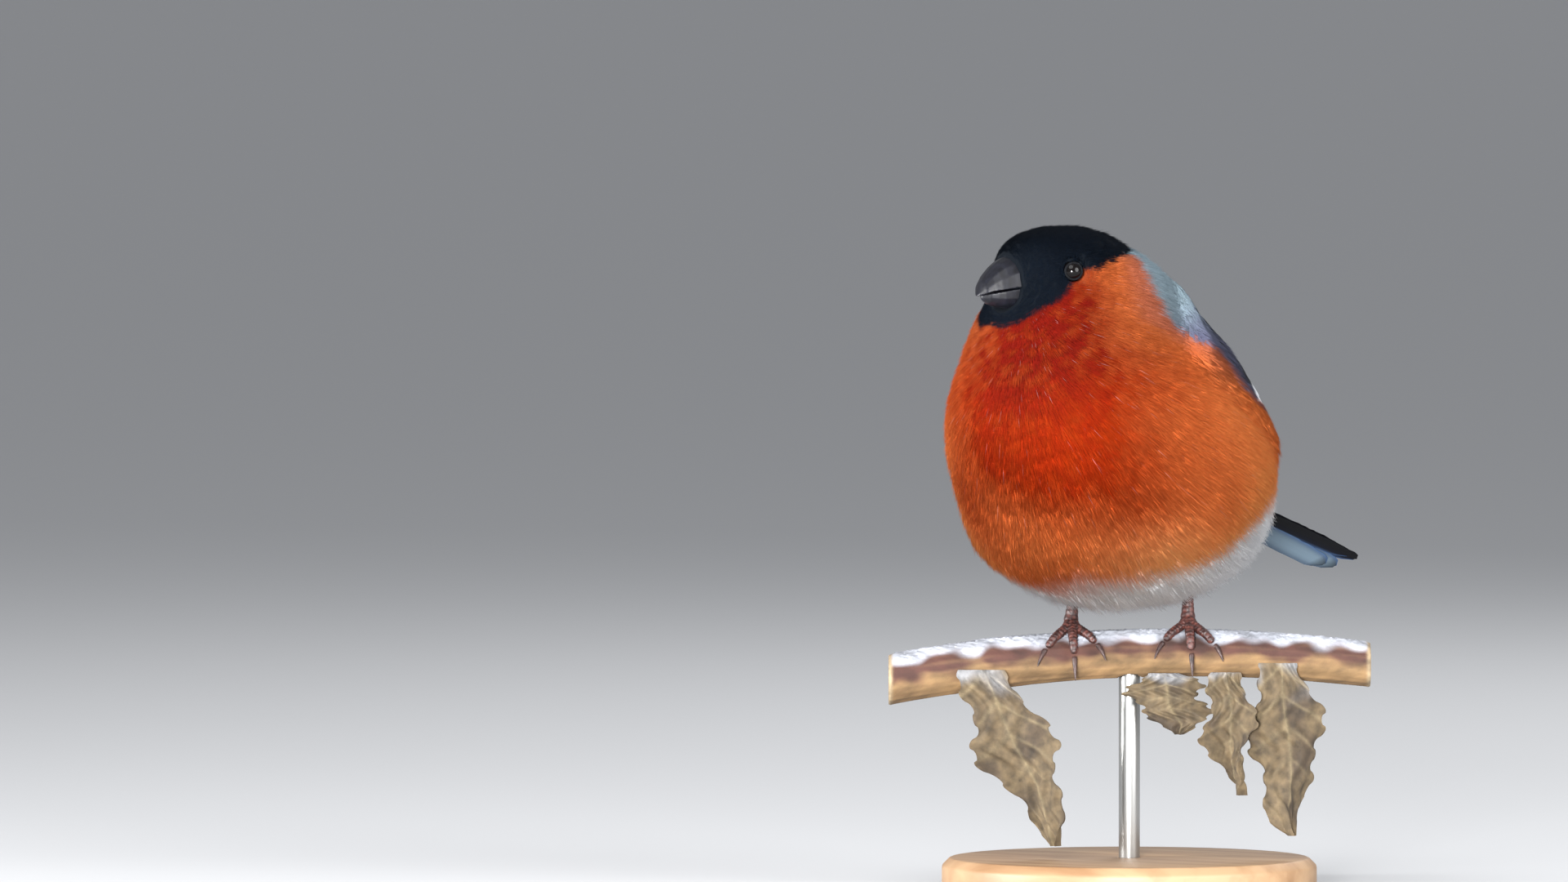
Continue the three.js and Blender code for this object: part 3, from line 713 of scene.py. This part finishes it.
# Feathers of wing and tail: closed vanes with a raised shaft, laid on the back
featherShapes = {
    "long": ([0, 0.15, 0.4, 0.7, 0.86, 0.95, 0.99, 1], [0.45, 0.8, 1, 0.95, 0.8, 0.55, 0.3, 0.06]),
    "round": ([0, 0.2, 0.5, 0.75, 0.9, 0.97, 1], [0.5, 0.9, 1, 0.95, 0.72, 0.42, 0.08]),
    "tail": ([0, 0.12, 0.4, 0.8, 0.93, 0.98, 1], [0.5, 0.8, 1, 1, 0.86, 0.6, 0.16]),
}
vaneAcross = np.array([-1, -0.82, -0.55, -0.25, -0.05, 0.05, 0.25, 0.55, 0.82, 1])
vanePlan = {
    "spacing": 0.9,
    "ragged": 0.03,
    "shaftHeight": 0.09,
    "shaftReach": 0.12,
    "shaftFade": 0.7,
    "thinner": 0.55,
}


# A thin closed sheet between two grids of points, given row by row
def closedSheet(top, low):
    steps, m = top.shape[:2]
    index = np.arange(steps * m).reshape(steps, m)
    q = index[:-1, :-1].ravel(), index[:-1, 1:].ravel(), index[1:, 1:].ravel(), index[1:, :-1].ravel()
    upper = np.concatenate([np.stack([q[0], q[2], q[1]], 1), np.stack([q[0], q[3], q[2]], 1)])
    lower = upper[:, ::-1] + steps * m
    rim = np.concatenate([index[0, :], index[1:, -1], index[-1, -2::-1], index[-2:0:-1, 0]])
    nextRim = np.roll(rim, -1)
    wall = np.concatenate([
        np.stack([rim, nextRim, nextRim + steps * m], 1),
        np.stack([rim, nextRim + steps * m, rim + steps * m], 1),
    ])
    return np.concatenate([top.reshape(-1, 3), low.reshape(-1, 3)]), np.concatenate([upper, lower, wall])


def vaneRows(centres, outs, width, thick, shape, colorAt, steps, cell, camber=0.06):
    t = np.linspace(0, 1, steps) ** vanePlan["spacing"]
    where = np.linspace(0, 1, len(centres))
    c = np.stack([np.interp(t, where, centres[:, k]) for k in range(3)], 1)
    o = unit(np.stack([np.interp(t, where, outs[:, k]) for k in range(3)], 1))
    along = unit(np.gradient(c, axis=0))
    side = unit(np.cross(o, along))
    up = np.cross(along, side)
    half = width / 2 * np.interp(t, *featherShapes[shape])
    a = vaneAcross[None, :, None]
    barbEdge = 1 + vanePlan["ragged"] * rng.standard_normal((steps, len(vaneAcross), 1)) * (np.abs(a) > 0.9)
    crown = camber * width * (1 - a**2)
    shaft = vanePlan["shaftHeight"] * np.maximum(0, 1 - np.abs(a) / vanePlan["shaftReach"])
    shaft = shaft * (1 - vanePlan["shaftFade"] * t[:, None, None])
    flat = c[:, None] + side[:, None] * half[:, None, None] * a * barbEdge + up[:, None] * (crown + shaft)
    thinner = vanePlan["thinner"]
    thickness = (thick * (1 - thinner * t)[:, None, None]) * (1 - thinner * a**2)
    top = flat + up[:, None] * thickness / 2
    low = flat - up[:, None] * thickness / 2
    points, faces = closedSheet(top, low)
    m = len(vaneAcross)
    tt = np.broadcast_to(t[:, None], (steps, m)).ravel()
    aa = np.broadcast_to(vaneAcross[None, :], (steps, m)).ravel()
    tone = np.concatenate([colorAt(tt, aa, False), colorAt(tt, aa, True)])
    corner, size = cell
    face = np.stack([corner[0] + size * (0.05 + 0.4 * (aa + 1) / 2), corner[1] + size * (0.05 + 0.9 * tt)], 1)
    under = face + np.array([size * 0.48, 0])
    return points, faces, tone, np.concatenate([face, under])


# The corner and size of the next vane's cell in a square grid of texture cells
def nextCell(rows, grid):
    return np.array([len(rows) % grid, len(rows) // grid]) / grid, 1 / grid


def joinRows(name, rows, material, replaced):
    starts = np.cumsum([0] + [len(points) for points, *rest in rows])[:-1]
    piece = meshPiece(
        name,
        toWorld(np.concatenate([points for points, *rest in rows])),
        np.concatenate([faces + start for (points, faces, *rest), start in zip(rows, starts)]),
        np.concatenate([tone for points, faces, tone, uv in rows]),
        np.concatenate([uv for points, faces, tone, uv in rows]),
    )
    editAll(piece, faceOut)
    smoothShade(piece, 40)
    return finishPiece(piece, material, replaced)


# The folded wing lies over this bed: the body with a soft ridge above the root of the tail
wingBed = {"ridgeAt": (0, 42, 31.5), "ridgeSize": (11, 34, 6.5), "voxel": 0.0012, "smoothing": 10}


def makeBed():
    bpy.ops.mesh.primitive_uv_sphere_add(segments=40, ring_count=20, radius=mm)
    ridge = bpy.context.object
    ridge.scale = wingBed["ridgeSize"]
    ridge.rotation_euler = (math.radians(-bird["tailDrop"]), 0, 0)
    ridge.location = toWorld(wingBed["ridgeAt"])
    applyPlace(ridge)
    bed = joinPieces([copyOf(name, f"{name}_bed") for name in ("torso", "neck", "head")] + [ridge])
    evenOut(bed, wingBed["voxel"], wingBed["smoothing"])
    corners = [v.co.copy() for v in bed.data.vertices]
    tree = BVHTree.FromPolygons(corners, [list(p.vertices) for p in bed.data.polygons])
    bpy.data.objects.remove(bed)
    return tree


bedTree = makeBed()


def onBack(side, run, angle, lift):
    start = np.array(backLine["start"]) + np.array(backLine["along"]) * run
    way = np.array(backLine["ridge"]) * math.cos(math.radians(angle))
    way = way + np.array([side, 0, 0]) * math.sin(math.radians(angle))
    far = toWorld(start + way * 90)
    hit, normal, *rest = bedTree.ray_cast(Vector(far), Vector(-way))
    normal = np.array(normal)
    return toBird(np.array(hit)) + normal * lift, normal


wingColors = {
    "black": tint(11, 12, 17),
    "gloss": tint(17, 20, 34),
    "brown": tint(52, 44, 42),
    "fringe": tint(150, 146, 142),
    "bar": tint(176, 178, 182),
    "grey": tint(112, 118, 138),
}


def darkVane(edgeShare):
    def colorAt(t, a, under):
        tone = np.tile(wingColors["gloss"] if not under else wingColors["brown"], (len(t), 1))
        tone = blend(tone, wingColors["black"], ramp(np.abs(a), 0.1, 0.6))
        edge = ramp(np.maximum(np.abs(a), (t - 0.9) * 9), 0.86, 1.0) * edgeShare
        return blend(tone, wingColors["fringe"], edge)
    return colorAt


def barVane(t, a, under):
    tone = np.tile(wingColors["black"], (len(t), 1))
    return blend(tone, wingColors["bar"], ramp(t + 0.12 * a**2, 0.62, 0.78) * (0.3 if under else 1))


def greyVane(t, a, under):
    tone = np.tile(wingColors["grey"] * 0.62, (len(t), 1))
    tone = blend(tone, wingColors["grey"], ramp(t, 0.2, 0.75))
    return blend(tone, wingColors["bar"], ramp(np.maximum(np.abs(a), (t - 0.88) * 8.5), 0.8, 1.0) * 0.3)


# Count, roots and tips of the first and the last vane as run and angle, lift, width, shape and colour
wingTiers = [
    (9, ((38, 66), (44, 46)), ((57, 53), (80, 17)), (0.8, 0.9), 6.4, "long", darkVane(0.25)),
    (6, ((30, 64), (30, 36)), ((54, 50), (66, 20)), (1.1, 1.2), 8.0, "long", darkVane(0.2)),
    (3, ((24, 40), (22, 26)), ((54, 28), (43, 19)), (1.4, 1.6), 9.5, "round", darkVane(0.15)),
    (10, ((14, 69), (13, 31)), ((33, 69), (35, 27)), (1.2, 1.7), 7.0, "round", barVane),
    (11, ((6, 68), (6, 30)), ((21, 68), (22, 27)), (0.7, 1.5), 5.6, "round", greyVane),
]
wingPlan = {
    "spots": 7,
    "steps": 22,
    "thick": 0.34,
    "wobble": 0.35,
    "alternate": 0.10,
    "stagger": 0.03,
    "uneven": 0.05,
}


def makeWing(name, side):
    rows = []
    grid = math.ceil(math.sqrt(sum(count for count, *rest in wingTiers)))
    for count, (root0, root1), (tip0, tip1), lift, width, shape, color in wingTiers:
        for i in range(count):
            t = i / (count - 1)
            wobble = wingPlan["wobble"] * rng.standard_normal(2)
            root = np.array(root0) * (1 - t) + np.array(root1) * t
            tip = np.array(tip0) * (1 - t) + np.array(tip1) * t + wobble
            lifts = np.array(lift) + wingPlan["alternate"] * (i % 2) + wingPlan["stagger"] * i
            spots = [
                onBack(side, *(root + (tip - root) * k), lifts[0] + (lifts[1] - lifts[0]) * k)
                for k in np.linspace(0, 1, wingPlan["spots"])
            ]
            centres, outs = (np.array(column) for column in zip(*spots))
            wide = width * (1 + wingPlan["uneven"] * rng.standard_normal())
            rows.append(vaneRows(centres, outs, wide, wingPlan["thick"], shape, color,
                                 wingPlan["steps"], nextCell(rows, grid)))
    return joinRows(name, rows, vaneMaterial, (name.replace("_feathers", ""),))


vaneMaterial = plumageMaterial("wing vane", 0.6, 0.03)
for wingName, wingSide in (("wing_left_feathers", 1), ("wing_right_feathers", -1)):
    wing = makeWing(wingName, wingSide)
    print(wing.name, len(wing.data.polygons), "triangles")

tail = {
    "pairs": 6,
    "length": 68,
    "rootOffset": 0.5,
    "rootStep": 0.3,
    "tipStep": 0.62,
    "roof": 8,
    "widths": (8.5, 7),
    "longest": 4,
    "graded": 2.6,
    "outerShort": 1.5,
    "stack": (0.14, 0.2),
    "lap": 0.1,
    "thick": 0.4,
    "camber": 0.02,
    "spots": 9,
    "steps": 26,
    "grid": 4,
    # Painted reflection: pale and darker silver-blue on the undersides of the right half's feathers
    "reflectionPale": tint(102, 119, 132),
    "reflectionDark": tint(72, 86, 102),
    # Painted highlight: a blue line along the outer edge of each vane
    "edge": tint(66, 92, 130),
}
tailBack = spin("X", -bird["tailDrop"]) @ np.array([0, 1, 0])
tailTwist = np.array(Matrix.Rotation(math.radians(-bird["tailTwist"]), 3, Vector(tailBack)))
tailTurn = tailTwist @ spin("X", -bird["tailDrop"])


def tailVane(side, rank):
    def colorAt(t, a, under):
        tone = np.tile(wingColors["black"] * 0.6, (len(t), 1))
        tone = blend(tone, wingColors["gloss"], ramp(a * side, -0.3, 0.6) * 0.5)
        # Painted reflection: only the right half's undersides are painted silver-blue, the left half's stay black
        if under and side < 0:
            reflection = blend(np.tile(tail["reflectionPale"], (len(t), 1)), tail["reflectionDark"], ramp(np.abs(a), 0.3, 1))
            tone = blend(tone, reflection, ramp(t, 0.2, 0.4) * (1 - 0.8 * ramp(t, 0.93, 0.99)))
        # Painted highlight: a blue line along each vane's outer edge
        if rank > 2 or not under:
            tone = blend(tone, tail["edge"], ramp(a * side, 0.72, 0.96) * 0.8)
        return tone
    return colorAt


def makeTail():
    rows = []
    last = tail["pairs"] - 1
    for side in (1, -1):
        for i in range(tail["pairs"]):
            slant = side * math.sin(math.radians(tail["roof"])) * i / last
            out = tailTurn @ unit(np.array([slant, 0, 1]))
            length = tail["length"] - tail["graded"] * abs(i - tail["longest"]) ** 0.5
            length -= tail["outerShort"] if i > tail["longest"] else 0
            centres = []
            for t in np.linspace(0, 1, tail["spots"]):
                step = tail["rootStep"] + (tail["tipStep"] - tail["rootStep"]) * t
                fall = -i * (tail["stack"][0] + tail["stack"][1] * t) - (0 if side > 0 else tail["lap"])
                centres.append(np.array([side * (tail["rootOffset"] + i * step), length * t, fall]))
            centres = np.array(centres) @ tailTurn.T + np.array(bird["tailRoot"])
            width = tail["widths"][0] + (tail["widths"][1] - tail["widths"][0]) * i / last
            outs = np.tile(out, (tail["spots"], 1))
            rows.append(vaneRows(centres, outs, width, tail["thick"], "tail", tailVane(side, i),
                                 tail["steps"], nextCell(rows, tail["grid"]), tail["camber"]))
    return joinRows("tail_feathers", rows, vaneMaterial, ("tail",))


makeTail()
print("wing and tail feathers are made")

vent = {
    "count": 9,
    "rows": 3,
    "halfWidth": 8.5,
    "back": (30, 3.2),
    "height": (22.4, 0.3),
    "bow": 0.9,
    "length": 11.5,
    "outerShort": 2.5,
    "splay": 1.4,
    "rise": (-0.6, 0.5),
    "sag": 0.5,
    "width": 5.5,
    "thick": 0.3,
    "spots": 6,
    "steps": 12,
    "grid": 6,
    "tone": tint(232, 232, 232),
    "shade": tint(190, 192, 196),
}


def ventVane(t, a, under):
    return blend(np.tile(vent["shade"], (len(t), 1)), vent["tone"], ramp(t, 0.1, 0.6))


def makeVent():
    rows = []
    for row in range(vent["rows"]):
        for i in range(vent["count"]):
            v = i / (vent["count"] - 1) * 2 - 1
            back = vent["back"][0] + vent["back"][1] * row
            height = vent["height"][0] + vent["bow"] * v * v + vent["height"][1] * row
            rise = vent["rise"][0] + vent["rise"][1] * row
            start = np.array([v * (vent["halfWidth"] - row), back, height])
            way = np.array([v * vent["splay"], vent["length"] - vent["outerShort"] * abs(v), rise])
            k = np.linspace(0, 1, vent["spots"])
            centres = start + way * k[:, None] - upward * (vent["sag"] * np.sin(math.pi * k))[:, None]
            outs = np.tile(unit(np.array([v * 0.5, 0.1, -1])), (vent["spots"], 1))
            rows.append(vaneRows(centres, outs, vent["width"], vent["thick"], "round", ventVane,
                                 vent["steps"], nextCell(rows, vent["grid"])))
    return joinRows("undertail_feathers", rows, plumageMaterial("vent down", 0.9, 0.1),
                    ("undertail_coverts",))


makeVent()

# Bill: the two halves rounded off, with horn bump and a satin gloss
billPlan = {"color": tint(9, 9, 13), "ridge": tint(22, 23, 31), "voxel": 0.00022, "smoothing": 5}


def hornMaterial(name, dark, light, roughness):
    material, shader, tree = newMaterial(name, roughness, sockets={"Specular IOR Level": 0.25})
    noise = addNoise(tree, 700, 4)
    band = addRamp(tree, noise.outputs["Fac"], [(0.3, dark), (0.75, light)])
    tree.links.new(band.outputs["Color"], shader.inputs["Base Color"])
    addBump(tree, shader, noise.outputs["Fac"], 0.25, 0.0002)
    return material


billMaterial = hornMaterial("bill horn", billPlan["color"], billPlan["ridge"], 0.42)
for billName in ("bill_upper", "bill_lower"):
    billHalf = copyOf(billName, f"{billName}_horn")
    evenOut(billHalf, billPlan["voxel"], billPlan["smoothing"])
    smoothShade(billHalf)
    finishPiece(billHalf, billMaterial, (billName,))

# Eyes: a glossy ball in a granular lid ring
eyePlan = {
    "radius": 2.6,
    "lidAt": 1.7,
    "lidMajor": 2.0,
    "lidMinor": 0.3,
    "lidFaces": (0.35, 0.03),
    "lidGrain": 0.05,
    "color": tint(8, 6, 6),
    "lid": tint(9, 10, 13),
}
eyeMaterial = newMaterial("eye", 0.07, eyePlan["color"], sockets={"Specular IOR Level": 0.22})[0]
lidMaterial = newMaterial("eyelid", 0.8, eyePlan["lid"], sockets={"Specular IOR Level": 0.1})[0]
for eyeName, eyeSide, spot in (("eye_left", 1, eyeSpots[0]), ("eye_right", -1, eyeSpots[1])):
    deselectAll()
    bpy.ops.mesh.primitive_uv_sphere_add(
        segments=48, ring_count=32, radius=eyePlan["radius"] * mm, location=toWorld(spot))
    eyeball = nameIt(bpy.context.object, f"{eyeName}_ball")
    forward, upTilt = eyePlan["lidFaces"]
    outward = headTurn @ unit(np.array([eyeSide, -forward, upTilt]))
    applyPlace(eyeball)
    smoothShade(eyeball)
    finishPiece(eyeball, eyeMaterial, (eyeName,))
    deselectAll()
    ringAt = spot + outward * eyePlan["lidAt"]
    bpy.ops.mesh.primitive_torus_add(
        major_radius=eyePlan["lidMajor"] * mm, minor_radius=eyePlan["lidMinor"] * mm,
        major_segments=60, minor_segments=10, location=toWorld(ringAt),
        rotation=Vector(outward).to_track_quat("Z", "Y").to_euler())
    lid = nameIt(bpy.context.object, f"{eyeName}_lid")
    applyPlace(lid)
    grain = ripple(toBird(pointsOf(lid)), 0.12, 2.0) * eyePlan["lidGrain"] * mm
    movePoints(lid, pointsOf(lid) + normalsOf(lid) * grain[:, None])
    smoothShade(lid)
    finishPiece(lid, lidMaterial)
print("bill and eyes are made")

# Legs, claws, stem, leaves and stand
legPlan = {
    "dark": tint(40, 20, 18),
    "light": tint(88, 48, 41),
    "voxel": 0.00018,
    "smoothing": 3,
    "apart": 14.3,
    "joint": 3.1,
    "scute": 0.95,
    "ridge": 0.16,
    "swell": 0.1,
}
stemPlan = {
    "radius": 6,
    "arch": 0.0013,
    "peakAt": 12,
    "thinning": 0.0011,
    "knot": (-33, 5, 0.28),
    "voxel": 0.0005,
    "smoothing": 3,
    "fibre": 0.13,
    "sunk": 0.1,
    "crust": 0.16,
    "crumbs": (0.12, 0.13),
    "end": (57.6, 58.6),
    "straw": tint(126, 99, 66),
    "bark": tint(70, 41, 33),
    "pith": tint(140, 122, 95),
    "frost": tint(178, 183, 193),
}
stemAlong = spin("Z", bird["stemTurn"]) @ np.array([1, 0, 0])
stemFront = spin("Z", bird["stemTurn"]) @ np.array([0, -1, 0])


def onStem(s, angle, lift):
    s, angle, lift = (np.asarray(value, float) for value in (s, angle, lift))
    at, length, height = stemPlan["knot"]
    knot = height * np.exp(-(((s - at) / length) ** 2))
    radius = stemPlan["radius"] * (1 - stemPlan["thinning"] * s) + knot + lift
    drop = stemPlan["radius"] + stemPlan["arch"] * (s - stemPlan["peakAt"]) ** 2
    turn = np.radians(angle)
    side = stemAlong * s[..., None] + stemFront * (radius * np.sin(turn))[..., None]
    return side + upward * (radius * np.cos(turn) - drop)[..., None]


def legMaterial():
    material, shader, tree = newMaterial("leg scales", 0.5)
    place = tree.nodes.new("ShaderNodeTexCoord")
    cells = tree.nodes.new("ShaderNodeTexVoronoi")
    cells.inputs["Scale"].default_value = 900
    tree.links.new(place.outputs["Object"], cells.inputs["Vector"])
    band = addRamp(tree, cells.outputs["Distance"], [(0.1, legPlan["light"]), (0.7, legPlan["dark"])])
    tree.links.new(band.outputs["Color"], shader.inputs["Base Color"])
    addBump(tree, shader, cells.outputs["Distance"], 0.5, 0.0003)
    return material


scaleMaterial = legMaterial()
clawMaterial = hornMaterial("claw horn", tint(32, 22, 22), tint(72, 52, 48), 0.35)
for sideName in ("left", "right"):
    leg = copyOf(f"leg_{sideName}", f"leg_{sideName}_scaled")
    evenOut(leg, legPlan["voxel"], legPlan["smoothing"])
    joint = onStem(legPlan["apart"] * (1 if sideName == "left" else -1), 0, legPlan["joint"])
    footTop = toBird(pointsOf(leg)) - joint
    rings = np.abs(np.sin(np.linalg.norm(footTop, axis=1) * math.pi / legPlan["scute"])) ** 0.6
    push = (rings[:, None] - 0.5) * legPlan["ridge"] + legPlan["swell"]
    movePoints(leg, pointsOf(leg) + normalsOf(leg) * push * mm)
    smoothShade(leg)
    finishPiece(leg, scaleMaterial, (f"leg_{sideName}",))
    for toeName in ("inner", "middle", "outer", "hind"):
        nodeName = f"claw_{sideName}_{toeName}"
        claw = copyOf(nodeName, f"{nodeName}_horn")
        applyMod(claw, "SUBSURF", levels=2, render_levels=2)
        smoothShade(claw)
        finishPiece(claw, clawMaterial, (nodeName,))


def grainMaterial(name, roughness, scale, depth, stretch=(1, 1, 1), turn=(0, 0, 0)):
    material, shader, tree = newMaterial(name, roughness)
    grain = addNoise(tree, scale, 6, stretch, turn)
    shade = addRamp(tree, grain.outputs["Fac"], [(0.3, (0.45, 0.45, 0.45)), (0.7, (1.2, 1.2, 1.2))])
    mix = tree.nodes.new("ShaderNodeVectorMath")
    mix.operation = "MULTIPLY"
    tree.links.new(paintedColor(tree), mix.inputs[0])
    tree.links.new(shade.outputs["Color"], mix.inputs[1])
    tree.links.new(mix.outputs["Vector"], shader.inputs["Base Color"])
    addBump(tree, shader, grain.outputs["Fac"], 0.7, depth)
    return material


def makeStem():
    stem = copyOf("perch_stem", "stem_bark")
    evenOut(stem, stemPlan["voxel"], stemPlan["smoothing"])
    p = toBird(pointsOf(stem))
    s = p @ stemAlong
    rest = p - onStem(s, 0, 0) + upward * (stemPlan["radius"] * (1 - stemPlan["thinning"] * s))[:, None]
    angle = np.degrees(np.arctan2(rest @ stemFront, rest[:, 2]))
    long = np.stack([s * 0.06, angle * 0.09, s * 0 + 3], 1)
    fibre = ripple(long, 0.45, 1.0)
    blotch = ripple(p, 2.2, 5.0)
    onTop = ramp(np.cos(np.radians(angle)) + 0.22 * blotch, 0.45, 0.8)
    inEnd = ramp(np.abs(s), *stemPlan["end"])
    lumps, specks = stemPlan["crumbs"]
    crumbs = lumps * ripple(p, 0.5, 2.0) + specks * rng.standard_normal(len(p)).clip(-1.5, 1.5)
    crust = onTop * (stemPlan["crust"] + crumbs)
    push = (stemPlan["fibre"] * fibre - stemPlan["sunk"]) * (1 - onTop) + crust
    movePoints(stem, pointsOf(stem) + normalsOf(stem) * (push * (1 - inEnd))[:, None] * mm)
    low = ramp(-np.cos(np.radians(angle)) + 0.3 * blotch, -0.25, 0.35)
    tone = blend(np.tile(stemPlan["bark"], (len(p), 1)), stemPlan["straw"], np.clip(low + 0.25 * fibre, 0, 1))
    tone = blend(tone, stemPlan["frost"], onTop * 0.85)
    tone = blend(tone, stemPlan["pith"], inEnd)
    paint(stem.data, tone)
    smoothShade(stem, 50)
    turn = (0, 0, math.radians(-bird["stemTurn"]))
    bark = grainMaterial("dry bark", 0.85, 260, 0.0006, (0.15, 1, 1), turn)
    return finishPiece(stem, bark, ("perch_stem",))


makeStem()

leafPlan = {
    "steps": 90,
    "across": 41,
    "thick": 0.42,
    "lobes": (0.24, 13),
    "teeth": (0.09, 46),
    "rib": 0.2,
    "base": tint(88, 74, 53),
    "dark": tint(54, 43, 32),
    "vein": tint(114, 101, 76),
    "frost": tint(160, 164, 170),
}
leafValues = ("at", "from", "length", "width", "sway", "curl", "twist", "seed")
leafRows = {
    "left": (-36, 95, 45, 19, 19, 34, 55, 1),
    "mid": (8, 128, 15, 18, 4, -30, 15, 4),
    "curl": (23.5, 125, 30, 12, 3, 45, 80, 7),
    "right": (37, 100, 42, 17, 3, -36, -45, 2),
}


# The same lobed, curled sheet as the solid, with teeth, veins and a finer crumple
def onLeaf(leaf, t, v):
    seed = leaf["seed"]
    wave = np.sin(seed * 1.7 + t * 9)
    middle = onStem(leaf["at"] + leaf["sway"] * t + 1.2 * wave * t, leaf["from"], 1.5)
    middle = middle + stemFront * (1.5 * t * np.sin(t * 5 + seed))[..., None]
    middle = middle - upward * (leaf["length"] * t)[..., None]
    turn = np.radians(leaf["twist"] * t * t + 6 * wave * t)[..., None]
    side = stemAlong * np.cos(turn) + stemFront * np.sin(turn)
    face = np.cross(side, upward)
    depth, often = leafPlan["lobes"]
    lobes = 1 + depth * np.sin(t * often + seed + np.where(v > 0, 2, 0)) * np.abs(v)
    depth, often = leafPlan["teeth"]
    saw = np.sin(t * often + seed)
    teeth = 1 + depth * np.abs(v) ** 3 * np.sign(saw) * np.abs(saw) ** 0.5
    half = leaf["width"] / 2 * np.sin(math.pi * (0.12 + 0.865 * t)) ** 0.75 * lobes * teeth + 0.3
    arc = abs(leaf["curl"]) * math.pi / 180 * (0.4 + 1.1 * t)
    bend = np.sign(leaf["curl"]) * arc * v
    crumple = 0.9 * t * np.sin(v * 4 + t * 8 + seed) + 0.4 * np.sin(v * 11 + 3 * np.sin(t * 17 + seed))
    across = half * np.sin(bend) * np.sign(leaf["curl"]) / arc
    depth = half * (1 - np.cos(bend)) * np.sign(leaf["curl"]) / arc + crumple
    return middle + side * across[..., None] + face * depth[..., None], face


def makeLeaf(name, leaf, material):
    t = np.linspace(0, 1, leafPlan["steps"])[:, None] + np.zeros((1, leafPlan["across"]))
    v = np.linspace(-1, 1, leafPlan["across"])[None, :] + np.zeros((leafPlan["steps"], 1))
    points, face = onLeaf(leaf, t, v)
    ribs = np.abs(np.cos(t * 17 - np.abs(v) * 2.6)) ** 40 * (1 - t) + np.exp(-((v / 0.05) ** 2))
    raised = face * (leafPlan["thick"] / 2 + leafPlan["rib"] * ribs)[..., None]
    rows, faces = closedSheet(points + raised, points - face * leafPlan["thick"] / 2)
    blotch = ripple(points.reshape(-1, 3), 3.0, leaf["seed"])
    tone = blend(np.tile(leafPlan["base"], (t.size, 1)), leafPlan["dark"], ramp(blotch, -0.1, 0.7) * 0.8)
    tone = blend(tone, leafPlan["vein"], np.clip(ribs.ravel(), 0, 1) * 0.7)
    tone = blend(tone, leafPlan["frost"], ramp(0.14 - t.ravel() + 0.14 * blotch, 0, 0.2) * 0.45)
    piece = meshPiece(f"leaf_{name}", toWorld(rows), faces, np.concatenate([tone, tone]))
    editAll(piece, faceOut)
    smoothShade(piece, 60)
    return finishPiece(piece, material, (f"perch_leaf_{name}",))


dryLeaf = grainMaterial("dry leaf", 0.85, 420, 0.0004)
for leafName, leafRow in leafRows.items():
    makeLeaf(leafName, dict(zip(leafValues, leafRow)), dryLeaf)

standPlan = {"wood": tint(158, 128, 96), "woodDark": tint(132, 100, 70), "steel": tint(160, 160, 158)}


def woodMaterial():
    material, shader, tree = newMaterial("stand wood", 0.5)
    noise = addNoise(tree, 14, 5, (1, 9, 9))
    band = addRamp(tree, noise.outputs["Fac"], [(0.35, standPlan["woodDark"]), (0.62, standPlan["wood"])])
    tree.links.new(band.outputs["Color"], shader.inputs["Base Color"])
    addBump(tree, shader, noise.outputs["Fac"], 0.15, 0.0004)
    return material


base = copyOf("stand_base", "base_wood")
applyMod(base, "BEVEL", width=0.0004, segments=3, limit_method="ANGLE", angle_limit=math.radians(30))
smoothShade(base, 30)
finishPiece(base, woodMaterial(), ("stand_base",))
rod = copyOf("stand_rod", "rod_steel")
applyMod(rod, "BEVEL", width=0.0003, segments=3, limit_method="ANGLE", angle_limit=math.radians(60))
smoothShade(rod, 40)
finishPiece(rod, newMaterial("stand steel", 0.32, standPlan["steel"], 0.9)[0], ("stand_rod",))
print("perch and stand are made")

# Studio: a wide pale floor under soft, even light
studio = {"floor": tint(196, 197, 199), "sky": tint(230, 232, 236), "skyStrength": 0.5, "aim": 0.11}
# Azimuth, elevation, distance, size and power
lights = {
    "key": (15, 46, 1.2, 0.9, 9),
    "fill": (85, 14, 1.4, 1.0, 23),
    "low": (28, -1, 1.1, 0.2, 27),
    "left": (-42, 0, 1.1, 0.2, 21),
    "rim": (190, 40, 1.4, 0.8, 7),
}


def addLight(name, azimuth, elevation, distance, size, power):
    a, e = math.radians(azimuth), math.radians(elevation)
    way = Vector((math.sin(a) * math.cos(e), -math.cos(a) * math.cos(e), math.sin(e)))
    aim = Vector((0, 0, studio["aim"]))
    bpy.ops.object.light_add(type="AREA", location=aim + way * distance)
    light = nameIt(bpy.context.object, name)
    light.rotation_euler = (-way).to_track_quat("-Z", "Y").to_euler()
    light.data.shape = "DISK"
    light.data.size = size
    light.data.energy = power


deselectAll()
bpy.ops.mesh.primitive_plane_add(size=120)
floor = nameIt(bpy.context.object, "studio_floor")
floor.data.materials.append(newMaterial("floor", 0.9, studio["floor"])[0])
world = bpy.data.worlds.new("studio")
bpy.context.scene.world = world
world.use_nodes = True
sky = world.node_tree.nodes["Background"]
sky.inputs["Color"].default_value = (*studio["sky"], 1)
sky.inputs["Strength"].default_value = studio["skyStrength"]
for lightName, lightValues in lights.items():
    addLight(lightName, *lightValues)
bpy.context.scene.view_settings.view_transform = "Standard"
print("studio is lit")
